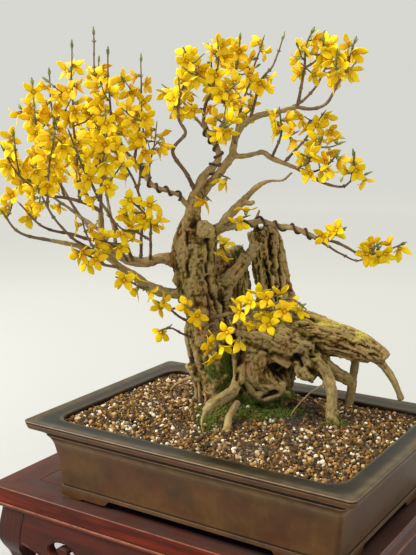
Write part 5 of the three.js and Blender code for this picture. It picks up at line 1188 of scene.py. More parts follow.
# A shoot is drawn if its tip lies this close, in metres, to a corner of the spray's own solid
TIP_MATCH = 0.0022
DRAW_FACTOR, DRAW_PRIME = 48271, 2147483647
SPRAYS = {
    "far_left_tip": (21, [
        ([[-264, -54, 233], [-284, -60, 238], [-303, -66, 249], [-314, -74, 268]], (2.2, 1), 1,
         (24, 32), 0.9, 0.9)]),
    "left_low": (124, [
        ([[-212, 14, 223], [-229, -4, 228], [-247, -20, 237], [-267, -34, 243], [-283, -46, 257],
         [-298, -56, 278]], (2.4, 1), 2, (35, 50), 0.8, 0.74)]),
    "left_middle": (54, [
        ([[-209, 10, 260], [-226, 2, 272], [-251, -10, 280], [-279, -26, 289], [-302, -40, 313],
         [-315, -50, 342]], (2.6, 1), 2, (36, 54), 0.8, 0.55),
        ([[-209, 12, 259], [-208, 16, 313], [-209, 18, 375], [-211, 14, 429], [-210, 10, 481]],
         (2.2, 0.8), 2, (30, 48), 0.5, 0.34),
        ([[-251, -10, 280], [-257, -8, 305], [-262, -4, 335], [-262, -2, 372]], (1.6, 0.9), 2,
         (22, 34), 0.5, 0.3)]),
    "left_back": (39, [
        ([[-208, 14, 233], [-229, 34, 244], [-258, 56, 261], [-292, 72, 284], [-330, 84, 318]],
         (2.6, 1), 2, (42, 62), 0.85, 0.55),
        ([[-292, 72, 284], [-308, 62, 296], [-322, 48, 312], [-330, 36, 332]], (1.6, 0.9), 1,
         (22, 32), 0.4, 0.3)]),
    "left_fan_low": (166, [
        ([[-216, -38, 218], [-237, -70, 240], [-258, -92, 276], [-270, -104, 314]], (2, 1), 2,
         (30, 44), 0.7, 0.62),
        ([[-258, -92, 276], [-256, -96, 304], [-252, -94, 332], [-246, -90, 362]], (1.6, 0.9), 1,
         (22, 32), 0.5, 0.3)]),
    "left_tall_a": (126, [
        ([[-220, 6, 268], [-232, 26, 287], [-244, 44, 311], [-262, 56, 344], [-274, 60, 389],
         [-275, 56, 435]], (2.4, 0.9), 2, (35, 52), 0.6, 0.35)]),
    "left_tall_b": (35, [
        ([[-268, -20, 284], [-273, -26, 322], [-280, -22, 374], [-284, -14, 420]], (1.8, 0.8), 2,
         (26, 40), 0.5, 0.2)]),
    "left_tall_c": (126, [
        ([[-234, 0, 274], [-233, -16, 321], [-234, -26, 376], [-234, -26, 423], [-233, -20, 463]],
         (2, 0.8), 2, (30, 46), 0.5, 0.3)]),
    "left_wired_end": (96, [
        ([[-164, 4, 324], [-177, -16, 344], [-185, -34, 373], [-188, -44, 413], [-187, -48, 453]],
         (2, 0.8), 2, (30, 44), 0.5, 0.25),
        ([[-164, 4, 324], [-158, 12, 360], [-155, 22, 402], [-154, 28, 449]], (2, 0.8), 2, (26, 40),
         0.45, 0.25)]),
    "left_inner_back": (159, [
        ([[-190, 16, 202], [-199, 46, 242], [-212, 78, 295], [-220, 96, 348], [-230, 104, 402]],
         (2.4, 0.9), 2, (36, 56), 0.5, 0.5)]),
    "left_far_back": (33, [
        ([[-207, 14, 216], [-243, 60, 249], [-277, 100, 295], [-300, 116, 349], [-314, 120, 398]],
         (2.4, 0.9), 2, (32, 50), 0.5, 0.5)]),
    "left_front_fan": (162, [
        ([[-169, 12, 194], [-181, -34, 237], [-200, -70, 283], [-216, -92, 324], [-229, -100, 365]],
         (2.4, 0.9), 3, (32, 52), 0.5, 0.5),
        ([[-200, -70, 283], [-196, -74, 315], [-190, -76, 350], [-189, -78, 388]], (1.6, 0.9), 2,
         (22, 34), 0.5, 0.3)]),
    "left_front_inner": (128, [
        ([[-160, 13, 195], [-158, 4, 226], [-154, -4, 258], [-158, -28, 290], [-169, -50, 319],
         [-184, -66, 345], [-201, -74, 371]], (2.2, 0.9), 2, (28, 44), 0.4, 0.6),
        ([[-158, -28, 290], [-152, -42, 322], [-148, -52, 358], [-149, -54, 394]], (1.6, 0.9), 2,
         (22, 32), 0.5, 0.3)]),
    "left_front_bunch": (22, [
        ([[-148, 8, 194], [-144, -24, 227], [-143, -46, 253], [-154, -60, 271], [-169, -66, 284]],
         (2, 1), 3, (20, 30), 0.2, 0.42),
        ([[-144, -24, 227], [-160, -44, 240], [-176, -56, 246], [-192, -60, 262]], (1.6, 0.9), 2,
         (18, 26), 0.3, 0.3)]),
    "left_wired_rise": (71, [
        ([[-146, -6, 299], [-144, -2, 319], [-139, 4, 342], [-135, 8, 369]], (1.6, 0.8), 2,
         (24, 34), 0.4, 0.45)]),
    "left_shelf_low": (38, [
        ([[-181, -28, 193], [-200, -50, 202], [-217, -66, 215], [-229, -78, 224]], (2, 1), 2,
         (18, 28), 0.1, 0.3),
        ([[-200, -50, 202], [-213, -47, 222], [-222, -44, 240], [-225, -46, 256]], (1.4, 0.9), 1,
         (16, 24), 0.3, 0.3)]),
    "left_shelf_inner": (154, [
        ([[-177, 14, 194], [-181, -20, 212], [-191, -40, 225], [-204, -52, 232]], (2, 1), 2,
         (18, 28), 0.1, 0.5)]),
    "left_under": (2, [
        ([[-147, -20, 167], [-155, -44, 171], [-168, -58, 181], [-182, -66, 188]], (1.8, 1), 2,
         (14, 22), -0.1, 0.3)]),
    "left_low_twig": (119, [
        ([[-97, -10, 119], [-112, -22, 129], [-124, -32, 142], [-136, -40, 152]], (1.8, 1), 1,
         (14, 20), 0, 0.55)]),
    "left_lowest_twig": (129, [
        ([[-96, -8, 97], [-107, -22, 106], [-120, -30, 116], [-135, -36, 114]], (1.5, 1), 1,
         (12, 18), 0, 0.6)]),
    "loop_rise": (24, [
        ([[-89, 0, 287], [-98, -12, 308], [-115, -22, 337], [-98, -26, 358], [-107, -20, 377],
         [-105, -12, 401], [-94, -4, 432], [-94, 0, 453]], (2.8, 0.9), 3, (24, 38), 0.3, 0.62)]),
    "crown_left": (89, [
        ([[-73, 4, 361], [-86, 30, 376], [-101, 52, 394], [-115, 64, 407], [-128, 70, 418]],
         (2.2, 0.9), 2, (24, 38), 0.3, 0.4)]),
    "crown_front": (107, [
        ([[-76, 6, 375], [-73, -12, 393], [-65, -30, 411], [-58, -40, 437], [-58, -44, 466]],
         (2.2, 0.9), 3, (26, 40), 0.2, 0.1),
        ([[-65, -30, 411], [-78, -38, 424], [-90, -44, 437], [-97, -48, 454]], (1.5, 0.9), 2,
         (18, 26), 0.3, 0.3)]),
    "crown_middle": (107, [
        ([[-67, 0, 351], [-53, 14, 368], [-46, 26, 391], [-40, 32, 415], [-32, 34, 445],
         [-29, 32, 474]], (2.4, 0.9), 3, (26, 40), 0.2, 0.4),
        ([[-46, 26, 391], [-58, 14, 404], [-64, 2, 424], [-66, -6, 446]], (1.5, 0.9), 1, (18, 26),
         0.3, 0.3)]),
    "crown_right": (53, [
        ([[-37, 16, 347], [-32, 44, 370], [-23, 60, 401], [-10, 66, 439], [3, 66, 477]], (2.2, 0.9),
         3, (24, 38), 0.2, 0.3)]),
    "crown_hanging": (163, [
        ([[-36, 14, 344], [-41, -14, 356], [-49, -30, 366], [-59, -40, 374]], (1.8, 0.9), 3,
         (20, 30), -0.1, 0.3)]),
    "bare_riser": (134, [
        ([[-18, 12, 374], [-11, 0, 400], [-3, -10, 423], [8, -14, 437], [15, -14, 451],
         [21, -12, 470]], (2, 0.8), 1, (12, 18), 0.5, 0.28)]),
    "right_upright_front": (40, [
        ([[40, 2, 388], [44, -6, 408], [47, -12, 434], [48, -14, 458], [56, -12, 476]], (2.2, 0.9),
         3, (22, 36), 0.3, 0.38),
        ([[47, -12, 434], [57, -26, 440], [65, -36, 450], [66, -42, 464]], (1.5, 0.9), 1, (16, 24),
         0.3, 0.3)]),
    "right_upright_back": (170, [
        ([[32, 4, 386], [54, 30, 399], [74, 48, 422], [86, 58, 447], [91, 62, 475]], (2, 0.9), 3,
         (22, 36), 0.3, 0.45)]),
    "right_tip": (148, [
        ([[40, 2, 388], [58, -6, 385], [74, -14, 392], [85, -22, 410], [93, -28, 428],
         [100, -30, 447], [105, -30, 463]], (2.4, 0.9), 3, (20, 32), 0.3, 0.5),
        ([[85, -22, 410], [84, -40, 418], [80, -52, 430], [80, -58, 446]], (1.5, 0.9), 1, (16, 24),
         0.3, 0.3)]),
    "right_spur": (70, [
        ([[8, -10, 326], [14, -26, 345], [18, -36, 361], [15, -40, 384]], (1.8, 0.9), 2, (20, 30),
         0.25, 0.4)]),
    "right_shelf_back": (123, [
        ([[22, -16, 320], [39, 6, 335], [54, 22, 349], [67, 30, 366], [78, 32, 381]], (1.9, 0.9), 2,
         (20, 32), 0.2, 0.45)]),
    "right_shelf_tip": (28, [
        ([[37, -22, 314], [49, -40, 322], [58, -50, 334], [64, -54, 351]], (2, 0.9), 3, (20, 32),
         0.1, 0.2),
        ([[37, -22, 314], [56, -30, 303], [71, -36, 296], [91, -42, 292], [103, -44, 300],
         [119, -46, 307]], (2.2, 0.9), 2, (20, 30), 0.9, 0.7),
        ([[37, -22, 314], [54, -44, 311], [68, -60, 318], [80, -68, 332]], (1.5, 0.9), 1, (16, 24),
         0.2, 0.3)]),
    "shoulder_front": (135, [
        ([[-55, -4, 241], [-45, -26, 249], [-33, -38, 255], [-24, -44, 258]], (1.6, 0.9), 1,
         (12, 18), 0.1, 0.55)]),
    "crotch_bloom": (83, [
        ([[-81, -2, 292], [-76, -20, 283], [-70, -28, 277]], (1.4, 0.9), 0, (10, 16), 0.4, 0.5)]),
    "under_crown_bloom": (43, [
        ([[-58, 12, 307], [-52, -4, 304], [-46, -14, 302]], (1.3, 0.9), 0, (10, 16), 0.4, 0.6)]),
    "long_right": (169, [
        ([[63, -18, 226], [86, -24, 222], [100, -30, 215], [117, -36, 208], [141, -42, 211],
         [164, -46, 221]], (2.2, 0.9), 4, (16, 26), 0.4, 0.55),
        ([[63, -18, 226], [81, 2, 212], [98, 14, 202], [120, 20, 190], [141, 20, 199]], (1.8, 0.9),
         1, (14, 22), 0.6, 0.85),
        ([[63, -18, 226], [70, -34, 233], [79, -44, 232], [90, -50, 240]], (1.6, 0.9), 1, (12, 18),
         0.5, 0.35)]),
    "low_front_branch": (28, [
        ([[-69, -28, 128], [-49, -58, 139], [-29, -84, 149], [-3, -98, 154], [20, -106, 151]],
         (2.8, 1), 6, (18, 28), 0, 0.3),
        ([[-29, -84, 149], [-20, -96, 162], [-6, -106, 170], [8, -112, 172]], (1.6, 0.9), 3,
         (14, 22), 0.1, 0.25),
        ([[-3, -98, 154], [12, -100, 165], [26, -104, 166], [38, -112, 158]], (1.6, 0.9), 3,
         (14, 22), 0, 0.25),
        ([[-49, -58, 139], [-47, -76, 134], [-41, -90, 128], [-36, -100, 118]], (1.5, 0.9), 2,
         (14, 20), 0, 0.3),
        ([[-29, -84, 149], [-20, -94, 141], [-10, -102, 139], [2, -106, 136]], (1.5, 0.9), 1,
         (14, 20), 0, 0.3)]),
    "low_front_left": (10, [
        ([[-77, -26, 122], [-79, -54, 134], [-89, -66, 144], [-100, -70, 153]], (1.8, 0.9), 2,
         (14, 22), 0.1, 0.4)]),
    "low_front_drop": (104, [
        ([[-70, -24, 118], [-59, -50, 110], [-65, -62, 100], [-77, -66, 89]], (1.6, 0.9), 2,
         (14, 20), 0, 0.3)]),
    "behind_trunk": (47, [
        ([[-78, 0, 241], [-67, 18, 226], [-57, 14, 216], [-50, -20, 210]], (1.6, 0.9), 1, (12, 18),
         0, 0.6)]),
}


def draw_from(seed):
    """A repeatable draw between 0 and 1, the one that the flowering sprays were laid out with."""
    state = seed

    def draw():
        nonlocal state
        state = state * DRAW_FACTOR % DRAW_PRIME
        return state / DRAW_PRIME

    return draw


spray_nodes = [f"spray_{name}" for name in SPRAYS]
spray_points = {node: np.array([v.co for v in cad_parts[node].data.vertices])
                for node in spray_nodes}


def side_shoots(stem, order, draw, points):
    """The lines of a stem's side shoots, each where the spray's own solid has one."""
    finder = kdtree.KDTree(len(points))
    for number, point in enumerate(points):
        finder.insert(point, number)
    finder.balance()
    found = []
    for shoot in range(stem.shoots):
        share = stem.start + (0.95 - stem.start) * (shoot + 0.6 * draw()) / stem.shoots
        base = along_curve(stem.line, share)
        turn = 2.4 * shoot + order + 1.2 * draw()
        rise = stem.lift + 0.25 * (draw() - 0.5)
        flat = math.sqrt(max(0.05, 1 - rise * rise))
        heading = unit([math.cos(turn) * flat, math.sin(turn) * flat, rise])
        span = stem.reach[0] + (stem.reach[1] - stem.reach[0]) * draw()
        middle = base + heading * span / 2 - [0, 0, 0.06 * span]
        tip = base + heading * span + [0, 0, 0.08 * span]
        placed = RIM_MIDDLE + in_tree([tip])[0] / 1000
        if finder.find(placed)[2] < TIP_MATCH:
            found.append([base, middle, tip])
    return found


def twig(line, thick, sides, seed):
    """A tapering stem that wavers a little and swells at each pair of buds."""
    line = np.asarray(line, float)
    length = np.linalg.norm(np.diff(line, axis=0), axis=1).sum()
    shares = np.linspace(0, 1, max(8, int(length / 3)))
    course = along_curve(line, shares)
    run = shares * length
    waver = np.column_stack([np.sin(run / 9 + seed), np.cos(run / 11 + seed * 2),
                             np.sin(run / 7 + seed * 3)]) * 0.5
    course = course + waver * np.sin(shares * math.pi)[:, None] ** 0.5
    radii = thick[0] + (thick[1] - thick[0]) * shares
    radii = radii * (1 + 0.28 * np.exp(-(run % BUD_STEP - FIRST_BUD) ** 2 / 2.5))
    return course, tube(course, radii, sides)[:2]


def red_brown_twig(tree):
    """Thin young bark, red brown on last year's shoots, with pale raised pores 1 mm across."""
    place = own_place(tree)
    tone = mottle(tree, place, 60, 5)
    brown = ramp(tree, tone, (0.3, "#45321f"), (0.55, "#6d543a"), (0.78, "#917754"))
    pores = add(tree, "TexVoronoi", {"Vector": place, "Scale": 330})
    dots = ramp(tree, pores, (0.12, 1.0), (0.24, 0.0))
    colour = blend(tree, dots, brown, "#a98c68")
    bump = bumped(tree, tone, 0.4, 0.0006)
    return surface(tree, colour, 0.62, bump)


twig_shells, twig_tips, bud_places = [], [], []


def grow(name, line, thick, sides, seed, last):
    """Adds a twig, its tip with the way that its last part points, and the line for its buds."""
    course, shell = twig(line, thick, sides, seed)
    twig_shells.append(shell)
    twig_tips.append((name, course[-1], course[-1] - course[-last]))
    bud_places.append(course)


for order, (name, (seed, stems)) in enumerate(SPRAYS.items()):
    draw = draw_from(1000 * seed + 37 * order)
    for number, row in enumerate(stems):
        stem = Stem(*row)
        shoots = side_shoots(stem, order, draw, spray_points[f"spray_{name}"])
        grow(name, stem.line, stem.thick, 8, order + number, 4)
        end = stem.thick[1]
        for shoot in shoots:
            grow(name, shoot, (end + 0.35, end * 0.75), 6, order + len(twig_shells), 3)
points, faces = together(twig_shells)
twig_bark = make_material("red_brown_twig_bark", red_brown_twig)
make_piece("twigs", (in_tree(points), faces), twig_bark, spray_nodes, sharp=80)

# Blooms
# Forsythia flowers, 28 to 30 mm across: four strap-like petals that part from a short tube, each
# thin, channelled and a little twisted, held at the twig by a small green calyx.
PETAL_START = 1.7
PETAL_REACH = 15.8
PETAL_LIFT = 1.2
NOTCH_REACH = 6.4
PETAL_WIDTH = 4.9
PETAL_THICK = 0.35
# How far a bloom's petals cup forward, curl at their tips, fold along their middles, and turn
PETAL_CUP = 10.5
PETAL_CURL = (-4.2, 3.4)
PETAL_FOLD = (0.5, 1.7)
PETAL_TWIST = 0.42
PETAL_BOW = 1.1
# Depth behind the throat, reach outward and radius: of the tube, the stalk and each sepal
TUBE = [(-6.4, 0, 1.0), (-5.0, 0, 1.3), (-3.2, 0, 1.7), (-1.4, 0, 2.3)]
STALK = [(-8.2, 0, 0.55), (-7.2, 0, 0.6), (-6.2, 0, 1.35), (-5.2, 0, 1.55), (-4.6, 0, 0.9)]
SEPAL = [(-6.0, 1.0, 0.75), (-4.4, 2.0, 0.6), (-2.6, 2.7, 0.12)]


def throats(node):
    """The blooms of a CAD spray: the middle, facing and four notches of each flat throat."""
    mesh = node.data
    points = [v.co * 1000 for v in mesh.vertices]
    side = NOTCH_REACH * math.sqrt(2)
    halves = {}
    for face in mesh.polygons:
        corners = [points[v] for v in face.vertices]
        spans = [(corners[k] - corners[k - 1]).length for k in range(3)]
        if abs(max(spans) - 2 * NOTCH_REACH) < 0.05 and abs(min(spans) - side) < 0.05:
            k = spans.index(max(spans))
            middle = (corners[k] + corners[k - 1]) / 2
            key = tuple(round(c * 4) for c in middle)
            halves.setdefault(key, []).append((middle, face.normal.copy(), corners[(k + 1) % 3]))
    return [(middle, facing, corner - middle) for pair in halves.values()
            for middle, facing, corner in pair[:1]]


bloom_list = []
for node in spray_nodes:
    for middle, facing, notch in throats(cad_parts[node]):
        bloom_list.append((np.array(middle) - RIM_MIDDLE * 1000, np.array(facing), np.array(notch)))

ALONG = np.linspace(0, 1, 8)
ACROSS = np.linspace(-1, 1, 5)
GRID_ALONG, GRID_ACROSS = (g.ravel() for g in np.meshgrid(ALONG, ACROSS, indexing="ij"))
# Half width at each share of a petal's length: narrow at the tube, fullest past the middle
OUTLINE = np.interp(GRID_ALONG, [0, 0.12, 0.3, 0.46, 0.66, 0.82, 0.94, 1],
                    [0.46, 0.7, 0.92, 1.0, 0.84, 0.55, 0.26, 0.03])


def petal_faces():
    """Faces of a petal whose upper and lower skins each have 8 by 5 points."""
    wide, full = len(ACROSS), len(GRID_ALONG)
    faces = []
    for row in range(len(ALONG) - 1):
        for column in range(wide - 1):
            a = row * wide + column
            upper = (a, a + 1, a + wide + 1, a + wide)
            faces.append(upper[::-1])
            faces.append(tuple(corner + full for corner in upper))
    edge = ([*range(wide)] + [r * wide + wide - 1 for r in range(1, len(ALONG))]
            + [full - 1 - c for c in range(1, wide)]
            + [r * wide for r in range(len(ALONG) - 2, 0, -1)])
    for a, b in zip(edge, edge[1:] + edge[:1]):
        faces.append((a, b, b + full, a + full))
    return faces


def spindle(middle, facing, outward, profile, sides):
    """A small round form behind a bloom."""
    line = [middle + facing * depth + outward * reach for depth, reach, _ in profile]
    return tube(line, [radius for *_, radius in profile], sides)[:2]


PETAL_FACES = petal_faces()
petal_shells, petal_marks, cup_shells, green_shells = [], [], [], []
for middle, facing, notch in bloom_list:
    spread = unit(notch)
    cross = np.cross(facing, spread)
    tint = chance.uniform()
    cup = PETAL_CUP * chance.uniform() ** 1.3
    size = chance.uniform(0.95, 1.04)
    for quarter in range(4):
        angle = math.pi / 4 + quarter * math.pi / 2 + chance.normal(0, 0.07)
        outward = math.cos(angle) * spread + math.sin(angle) * cross
        sideways = np.cross(facing, outward)
        reach = PETAL_REACH * size * chance.uniform(0.93, 1.03)
        twist = chance.normal(0, PETAL_TWIST) * GRID_ALONG
        curl = chance.uniform(*PETAL_CURL)
        fold = chance.uniform(*PETAL_FOLD)
        bow = chance.normal(0, PETAL_BOW)
        flat = GRID_ACROSS * OUTLINE * PETAL_WIDTH * chance.uniform(0.86, 1.06)
        run = (reach - PETAL_START) * GRID_ALONG
        # The petal dips into the throat, curls at its tip, folds along its middle, cups forward
        lift = -2.4 * np.exp(-GRID_ALONG * 7) + PETAL_LIFT * GRID_ALONG + curl * GRID_ALONG ** 3
        lift = lift + fold * (GRID_ACROSS * OUTLINE) ** 2 * (1 - 0.6 * GRID_ALONG)
        lift = lift + cup * GRID_ALONG ** 1.3
        run = PETAL_START + run * (1 - 0.028 * cup * GRID_ALONG)
        width = flat * np.cos(twist) + bow * np.sin(GRID_ALONG * math.pi)
        lift = lift + flat * np.sin(twist)
        top = middle + np.outer(run, outward) + np.outer(width, sideways) + np.outer(lift, facing)
        tilt = facing - outward * 0.2
        petal_shells.append((np.concatenate([top, top - tilt * PETAL_THICK]), PETAL_FACES))
        tone = np.column_stack([GRID_ALONG, np.full(len(GRID_ALONG), tint), np.abs(GRID_ACROSS),
                                np.ones(len(GRID_ALONG))])
        petal_marks.append(np.concatenate([tone, tone]))
    # The tube narrows back to the calyx, and a short stalk joins it to the twig
    cup_shells.append(spindle(middle, facing, spread, TUBE, 8))
    green_shells.append(spindle(middle, facing, spread, STALK, 7))
    for lobe in range(4):
        angle = lobe * math.pi / 2 + tint * 3
        outward = math.cos(angle) * spread + math.sin(angle) * cross
        green_shells.append(spindle(middle, facing, outward, SEPAL, 5))


def forsythia_petal(tree):
    """Thin waxy petals of a full yellow, deeper and more orange towards the throat, with a faint
    wrinkled mottle and light coming through."""
    mark_colour = stored(tree, "petal", "Color")
    parts = add(tree, "SeparateColor", {0: mark_colour}, "Red").node
    run = ramp(tree, parts.outputs["Red"], (0.0, "#c08600"), (0.08, "#dab000"),
               (0.25, "#e8c600"), (0.7, "#eed200"), (1.0, "#f4de00"))
    tint = ramp(tree, parts.outputs["Green"], (0.0, "#ecbe00"), (0.4, "#fbe880"), (1.0, "#ffffff"))
    toned = darken(tree, 0.45, run, tint)
    place = own_place(tree)
    wrinkle = mottle(tree, place, 380, 3)
    shade = ramp(tree, wrinkle, (0.3, 0.72), (0.6, 1.0))
    colour = darken(tree, 0.6, toned, shade)
    bump = bumped(tree, wrinkle, 0.3, 0.0005)
    return surface(tree, colour, 0.55, bump, {
        "Specular IOR Level": 0.2, "Subsurface Weight": 0.12,
        "Subsurface Radius": (1.0, 0.7, 0.1), "Subsurface Scale": 0.002})


petal_material = make_material("forsythia_petal", forsythia_petal)
half = len(petal_shells) // 2
for name, part in (("petals_left", slice(0, half)), ("petals_right", slice(half, None))):
    petals = make_piece(name, together(petal_shells[part]), petal_material, sharp=180)
    mark(petals, "petal", "FLOAT_COLOR", np.concatenate(petal_marks[part]))


def corolla_tube(tree):
    """The short tube behind the petals, yellow with a greenish cast."""
    place = own_place(tree)
    tone = mottle(tree, place, 150)
    colour = ramp(tree, tone, (0.35, "#c4a200"), (0.65, "#e6c400"))
    return surface(tree, colour, 0.5)


tube_material = make_material("corolla_tube", corolla_tube)
make_piece("bloom_tubes", together(cup_shells), tube_material, sharp=180)

# Leaf shoots and buds
# Folded leaves just opening at the ends of the stems, and bud pairs along them. Soft young growth,
# longest on the tallest stems.
TALL_LEAF = (6, 9.5)
SHORT_LEAF = (3.5, 5.5)
LEAF_THICK = 0.35
TALL_SPRAYS = ("left_middle", "left_tall_a", "left_tall_b", "left_tall_c", "left_wired_end",
               "loop_rise", "bare_riser", "right_tip", "right_upright_front", "crown_middle",
               "long_right", "right_shelf_tip", "left_back", "far_left_tip")


def young_green(tree):
    """Tender sepals, bud scales and leaf tips, yellow green to olive."""
    place = own_place(tree)
    tone = mottle(tree, place, 75, 3)
    colour = ramp(tree, tone, (0.3, "#4c5a1c"), (0.5, "#6c7a2a"), (0.7, "#8f9440"))
    return surface(tree, colour, 0.5)


def leaf(base, heading, side, length, width):
    """A narrow folded leaf."""
    heading, side = unit(heading), unit(side)
    face = np.cross(heading, side)
    rings = []
    for share in np.linspace(0, 1, 7):
        reach = width * math.sin(math.pi * min(0.98, share * 0.93 + 0.06)) ** 0.8
        middle = base + heading * length * share + face * length * 0.22 * share ** 2
        rings.append([middle - side * reach + face * reach * 0.5, middle - face * 0.2,
                      middle + side * reach + face * reach * 0.5,
                      middle + side * reach * 0.98 + face * (reach * 0.5 + LEAF_THICK),
                      middle + face * LEAF_THICK,
                      middle - side * reach * 0.98 + face * (reach * 0.5 + LEAF_THICK)])
    return loft(rings)


leaf_shells = []
for name, tip, heading in twig_tips:
    heading = unit(heading)
    side = np.cross(heading, (0.3, 0.9, 0.1))
    spin = chance.uniform(0, 3)
    pairs = 2 if name in TALL_SPRAYS else 1
    for pair in range(pairs):
        for way in (0, math.pi):
            turn = spin + way + pair * math.pi / 2
            across = side * math.cos(turn) + np.cross(heading, side) * math.sin(turn)
            aim = heading + across * (0.28 + 0.35 * pair)
            length = chance.uniform(*(TALL_LEAF if name in TALL_SPRAYS else SHORT_LEAF))
            leaf_shells.append(leaf(tip - heading * (0.8 + 3.5 * pair), aim,
                                    np.cross(heading, across), length, length * 0.17))
for course in bud_places:
    length = np.linalg.norm(np.diff(course, axis=0), axis=1).sum()
    for run in np.arange(FIRST_BUD, length - 4, BUD_STEP):
        share = run / length * (len(course) - 1)
        number = min(len(course) - 2, int(share))
        place = course[number]
        heading = unit(course[number + 1] - course[number])
        side = unit(np.cross(heading, (0.3, 0.2, 1)))
        turn = run * 1.57 / BUD_STEP
        across = side * math.cos(turn) + np.cross(heading, side) * math.sin(turn)
        for way in (1, -1):
            aim = heading * 0.8 + across * way * 0.6
            bud = [place + across * way * 0.8 + aim * depth for depth in (0, 1.1, 2.3, 3.4)]
            leaf_shells.append(tube(bud, [0.6, 0.95, 0.7, 0.1], 5)[:2])
points, faces = together(leaf_shells)
green = together([(in_tree(points), faces), *green_shells])
make_piece("buds_and_sepals", green, make_material("young_green", young_green), sharp=60)

# Moss
# Cushions of short moss on the soil round the roots, kept damp: upright leafy blades 2 to 4 mm
# tall on a dark mat.
MOSS_SPOTS = [((-56, -34), (26, 26), 3400), ((-18, -50), (40, 22), 4600), ((20, -40), (26, 14), 900),
              ((-74, -62), (18, 30), 1800), ((84, -70), (16, 8), 600)]
SOIL_BLADE, WOOD_BLADE = (2.0, 4.2), (1.4, 3.2)
SOIL_BLADE_WIDTH, WOOD_BLADE_WIDTH = 0.6, 0.5
MOST_ON_WOOD = 12000
# Cushions swell this high, and the soil is bare where they would sink below this
HUMMOCK, BARE_BELOW = 4.5, -0.12
MOSS_INSET = 36


def moss_green(tree):
    """Moss leaves, deep green with lighter yellow-green tips."""
    place = own_place(tree)
    tone = mottle(tree, place, 90, 6)
    high = stored(tree, "tip")
    base = ramp(tree, tone, (0.38, "#0c1002"), (0.5, "#1e2b04"), (0.66, "#4d6209"))
    colour = blend(tree, high, base, "#6c8212")
    return surface(tree, colour, 0.7)


blades, blade_faces, blade_tips = [], [], []


def moss_blade(base, heading, length, width):
    """A three-sided pointed blade."""
    side = unit(np.cross(heading, chance.normal(size=3)))
    other = np.cross(heading, side)
    start = len(blades)
    for turn in (0, 2.1, 4.2):
        blades.append(base + width * (side * math.cos(turn) + other * math.sin(turn)))
    blades.append(base + heading * length)
    blade_faces.extend([(start, start + 1, start + 3), (start + 1, start + 2, start + 3),
                        (start + 2, start, start + 3), (start + 2, start + 1, start)])
    blade_tips.extend([0, 0, 0, 1])


for (across, away), (wide, deep), number in MOSS_SPOTS:
    for _ in range(number):
        spot = chance.normal(0, 0.5, 2) * [wide, deep] + [across, away]
        place = in_tree([[*spot, 0]])[0]
        hummock = noise.noise(Vector(place) * 0.16) + 0.6 * noise.noise(Vector(place) * 0.42)
        beyond = np.abs(place[:2]) > [POT_LENGTH / 2 - MOSS_INSET, POT_WIDTH / 2 - MOSS_INSET]
        if hummock < BARE_BELOW or beyond.any():
            continue
        place[2] = soil_height(place[0], place[1]) + 1.0 + HUMMOCK * hummock
        heading = chance.normal(0, 0.35, 3) + [0, 0, 1]
        moss_blade(place, unit(heading), chance.uniform(*SOIL_BLADE), SOIL_BLADE_WIDTH)
mossy_places = np.nonzero(moss_cover > 0.45)[0]
for number in chance.choice(mossy_places, min(MOST_ON_WOOD, 3 * len(mossy_places))):
    heading = unit(skin_normals[number] + [0, 0, 0.4] + chance.normal(0, 0.3, 3))
    base = rim_frame[number] + chance.normal(0, 0.7, 3)
    heading = in_tree([heading])[0] - TREE_FOOT
    moss_blade(base, heading, chance.uniform(*WOOD_BLADE), WOOD_BLADE_WIDTH)
moss = make_piece("moss", (np.array(blades), blade_faces), make_material("moss_green", moss_green),
                  sharp=180)
mark(moss, "tip", "FLOAT", blade_tips)

# Studio
# A plain pale sweep, a large soft light from the upper left, and the camera where the photograph
# was taken from: a little above the rim, in front and to the right of the pot.
CAMERA_PLACE = np.array([555.6, -914.0, 379.5])
CAMERA_TURN, CAMERA_DOWN, CAMERA_ROLL = (math.radians(a) for a in (33.45, 10.55, -0.79))
FOCAL_PIXELS = 872
FRAME_HEIGHT = 555
SENSOR_HEIGHT = 36
FLOOR_REACH = 6
# Each light: its place, what it is turned to, its width and height in metres, watts and colour
LIGHTS = {
    "window_left": ((-1.5, -1.5, 1.9), (0, 0, 0.4), (1.1, 1.1), 92, "#fff9f0"),
    "room_right": ((2.2, -1.2, 1.6), (0, 0, 0.35), (1.8, 1.8), 15, "#fff4e6"),
    "top": ((0.2, 0.4, 2.4), (0, 0, 0.3), (1.8, 1.8), 26, "#fffaf2"),
}
ROOM_COLOUR, ROOM_STRENGTH = "#eeeee8", 0.8


def pale_sweep(tree):
    """Matt painted board, a warm off-white, with painted shade greying it towards its middle."""
    place = own_place(tree)
    # Painted shade: grey within 0.6 m of the middle, fading to off-white 5 m out
    spread = add(tree, "VectorMath", {0: place}, "Value", operation="LENGTH")
    share = ranged(tree, spread, 0.6, 5)
    colour = ramp(tree, share, (0.0, "#b4b7b6"), (0.35, "#dcdedb"), (1.0, "#fbfbf8"))
    return surface(tree, colour, 0.85)


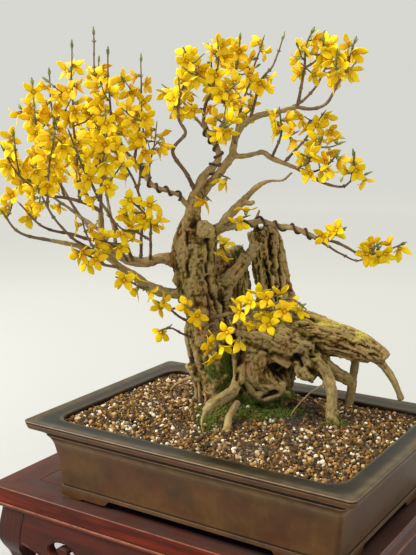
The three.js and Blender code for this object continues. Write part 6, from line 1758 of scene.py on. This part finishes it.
floor_mesh = bpy.data.meshes.new("studio_floor")
floor_corners = [(x * FLOOR_REACH, y * FLOOR_REACH, 0)
                 for x, y in ((-1, -1), (1, -1), (1, 1), (-1, 1))]
floor_mesh.from_pydata(floor_corners, [], [(0, 1, 2, 3)])
floor_mesh.materials.append(make_material("pale_board", pale_sweep))
floor = bpy.data.objects.new("studio_floor", floor_mesh)
bpy.context.scene.collection.objects.link(floor)
floor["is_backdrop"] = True

for name, (place, aim, size, power, colour) in LIGHTS.items():
    lamp = bpy.data.lights.new(name, "AREA")
    lamp.shape = "RECTANGLE"
    lamp.size, lamp.size_y = size
    lamp.energy = power
    lamp.color = linear(colour)[:3]
    light = bpy.data.objects.new(name, lamp)
    light.location = place
    light.rotation_euler = (Vector(aim) - Vector(place)).to_track_quat("-Z", "Y").to_euler()
    bpy.context.scene.collection.objects.link(light)

world = bpy.data.worlds.new("studio_room")
world.use_nodes = True
background = world.node_tree.nodes["Background"]
background.inputs["Color"].default_value = linear(ROOM_COLOUR)
background.inputs["Strength"].default_value = ROOM_STRENGTH
bpy.context.scene.world = world

forward = np.array([-math.sin(CAMERA_TURN) * math.cos(CAMERA_DOWN),
                    math.cos(CAMERA_TURN) * math.cos(CAMERA_DOWN), -math.sin(CAMERA_DOWN)])
level = np.array([math.cos(CAMERA_TURN), math.sin(CAMERA_TURN), 0])
upright = np.cross(level, forward)
right = math.cos(CAMERA_ROLL) * level + math.sin(CAMERA_ROLL) * upright
above = -math.sin(CAMERA_ROLL) * level + math.cos(CAMERA_ROLL) * upright
lens = bpy.data.cameras.new("camera")
lens.sensor_fit = "VERTICAL"
lens.sensor_height = SENSOR_HEIGHT
lens.lens = FOCAL_PIXELS / FRAME_HEIGHT * SENSOR_HEIGHT
camera = bpy.data.objects.new("camera", lens)
turn = Matrix((right, above, -forward)).transposed().to_4x4()
camera.matrix_world = Matrix.Translation(RIM_MIDDLE + CAMERA_PLACE / 1000) @ turn
bpy.context.scene.collection.objects.link(camera)
bpy.context.scene.camera = camera
bpy.context.scene.view_settings.view_transform = "Standard"

sizes = {"cad": [list(corner) for corner in cad_box],
         "visual": [list(corner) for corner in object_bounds()]}
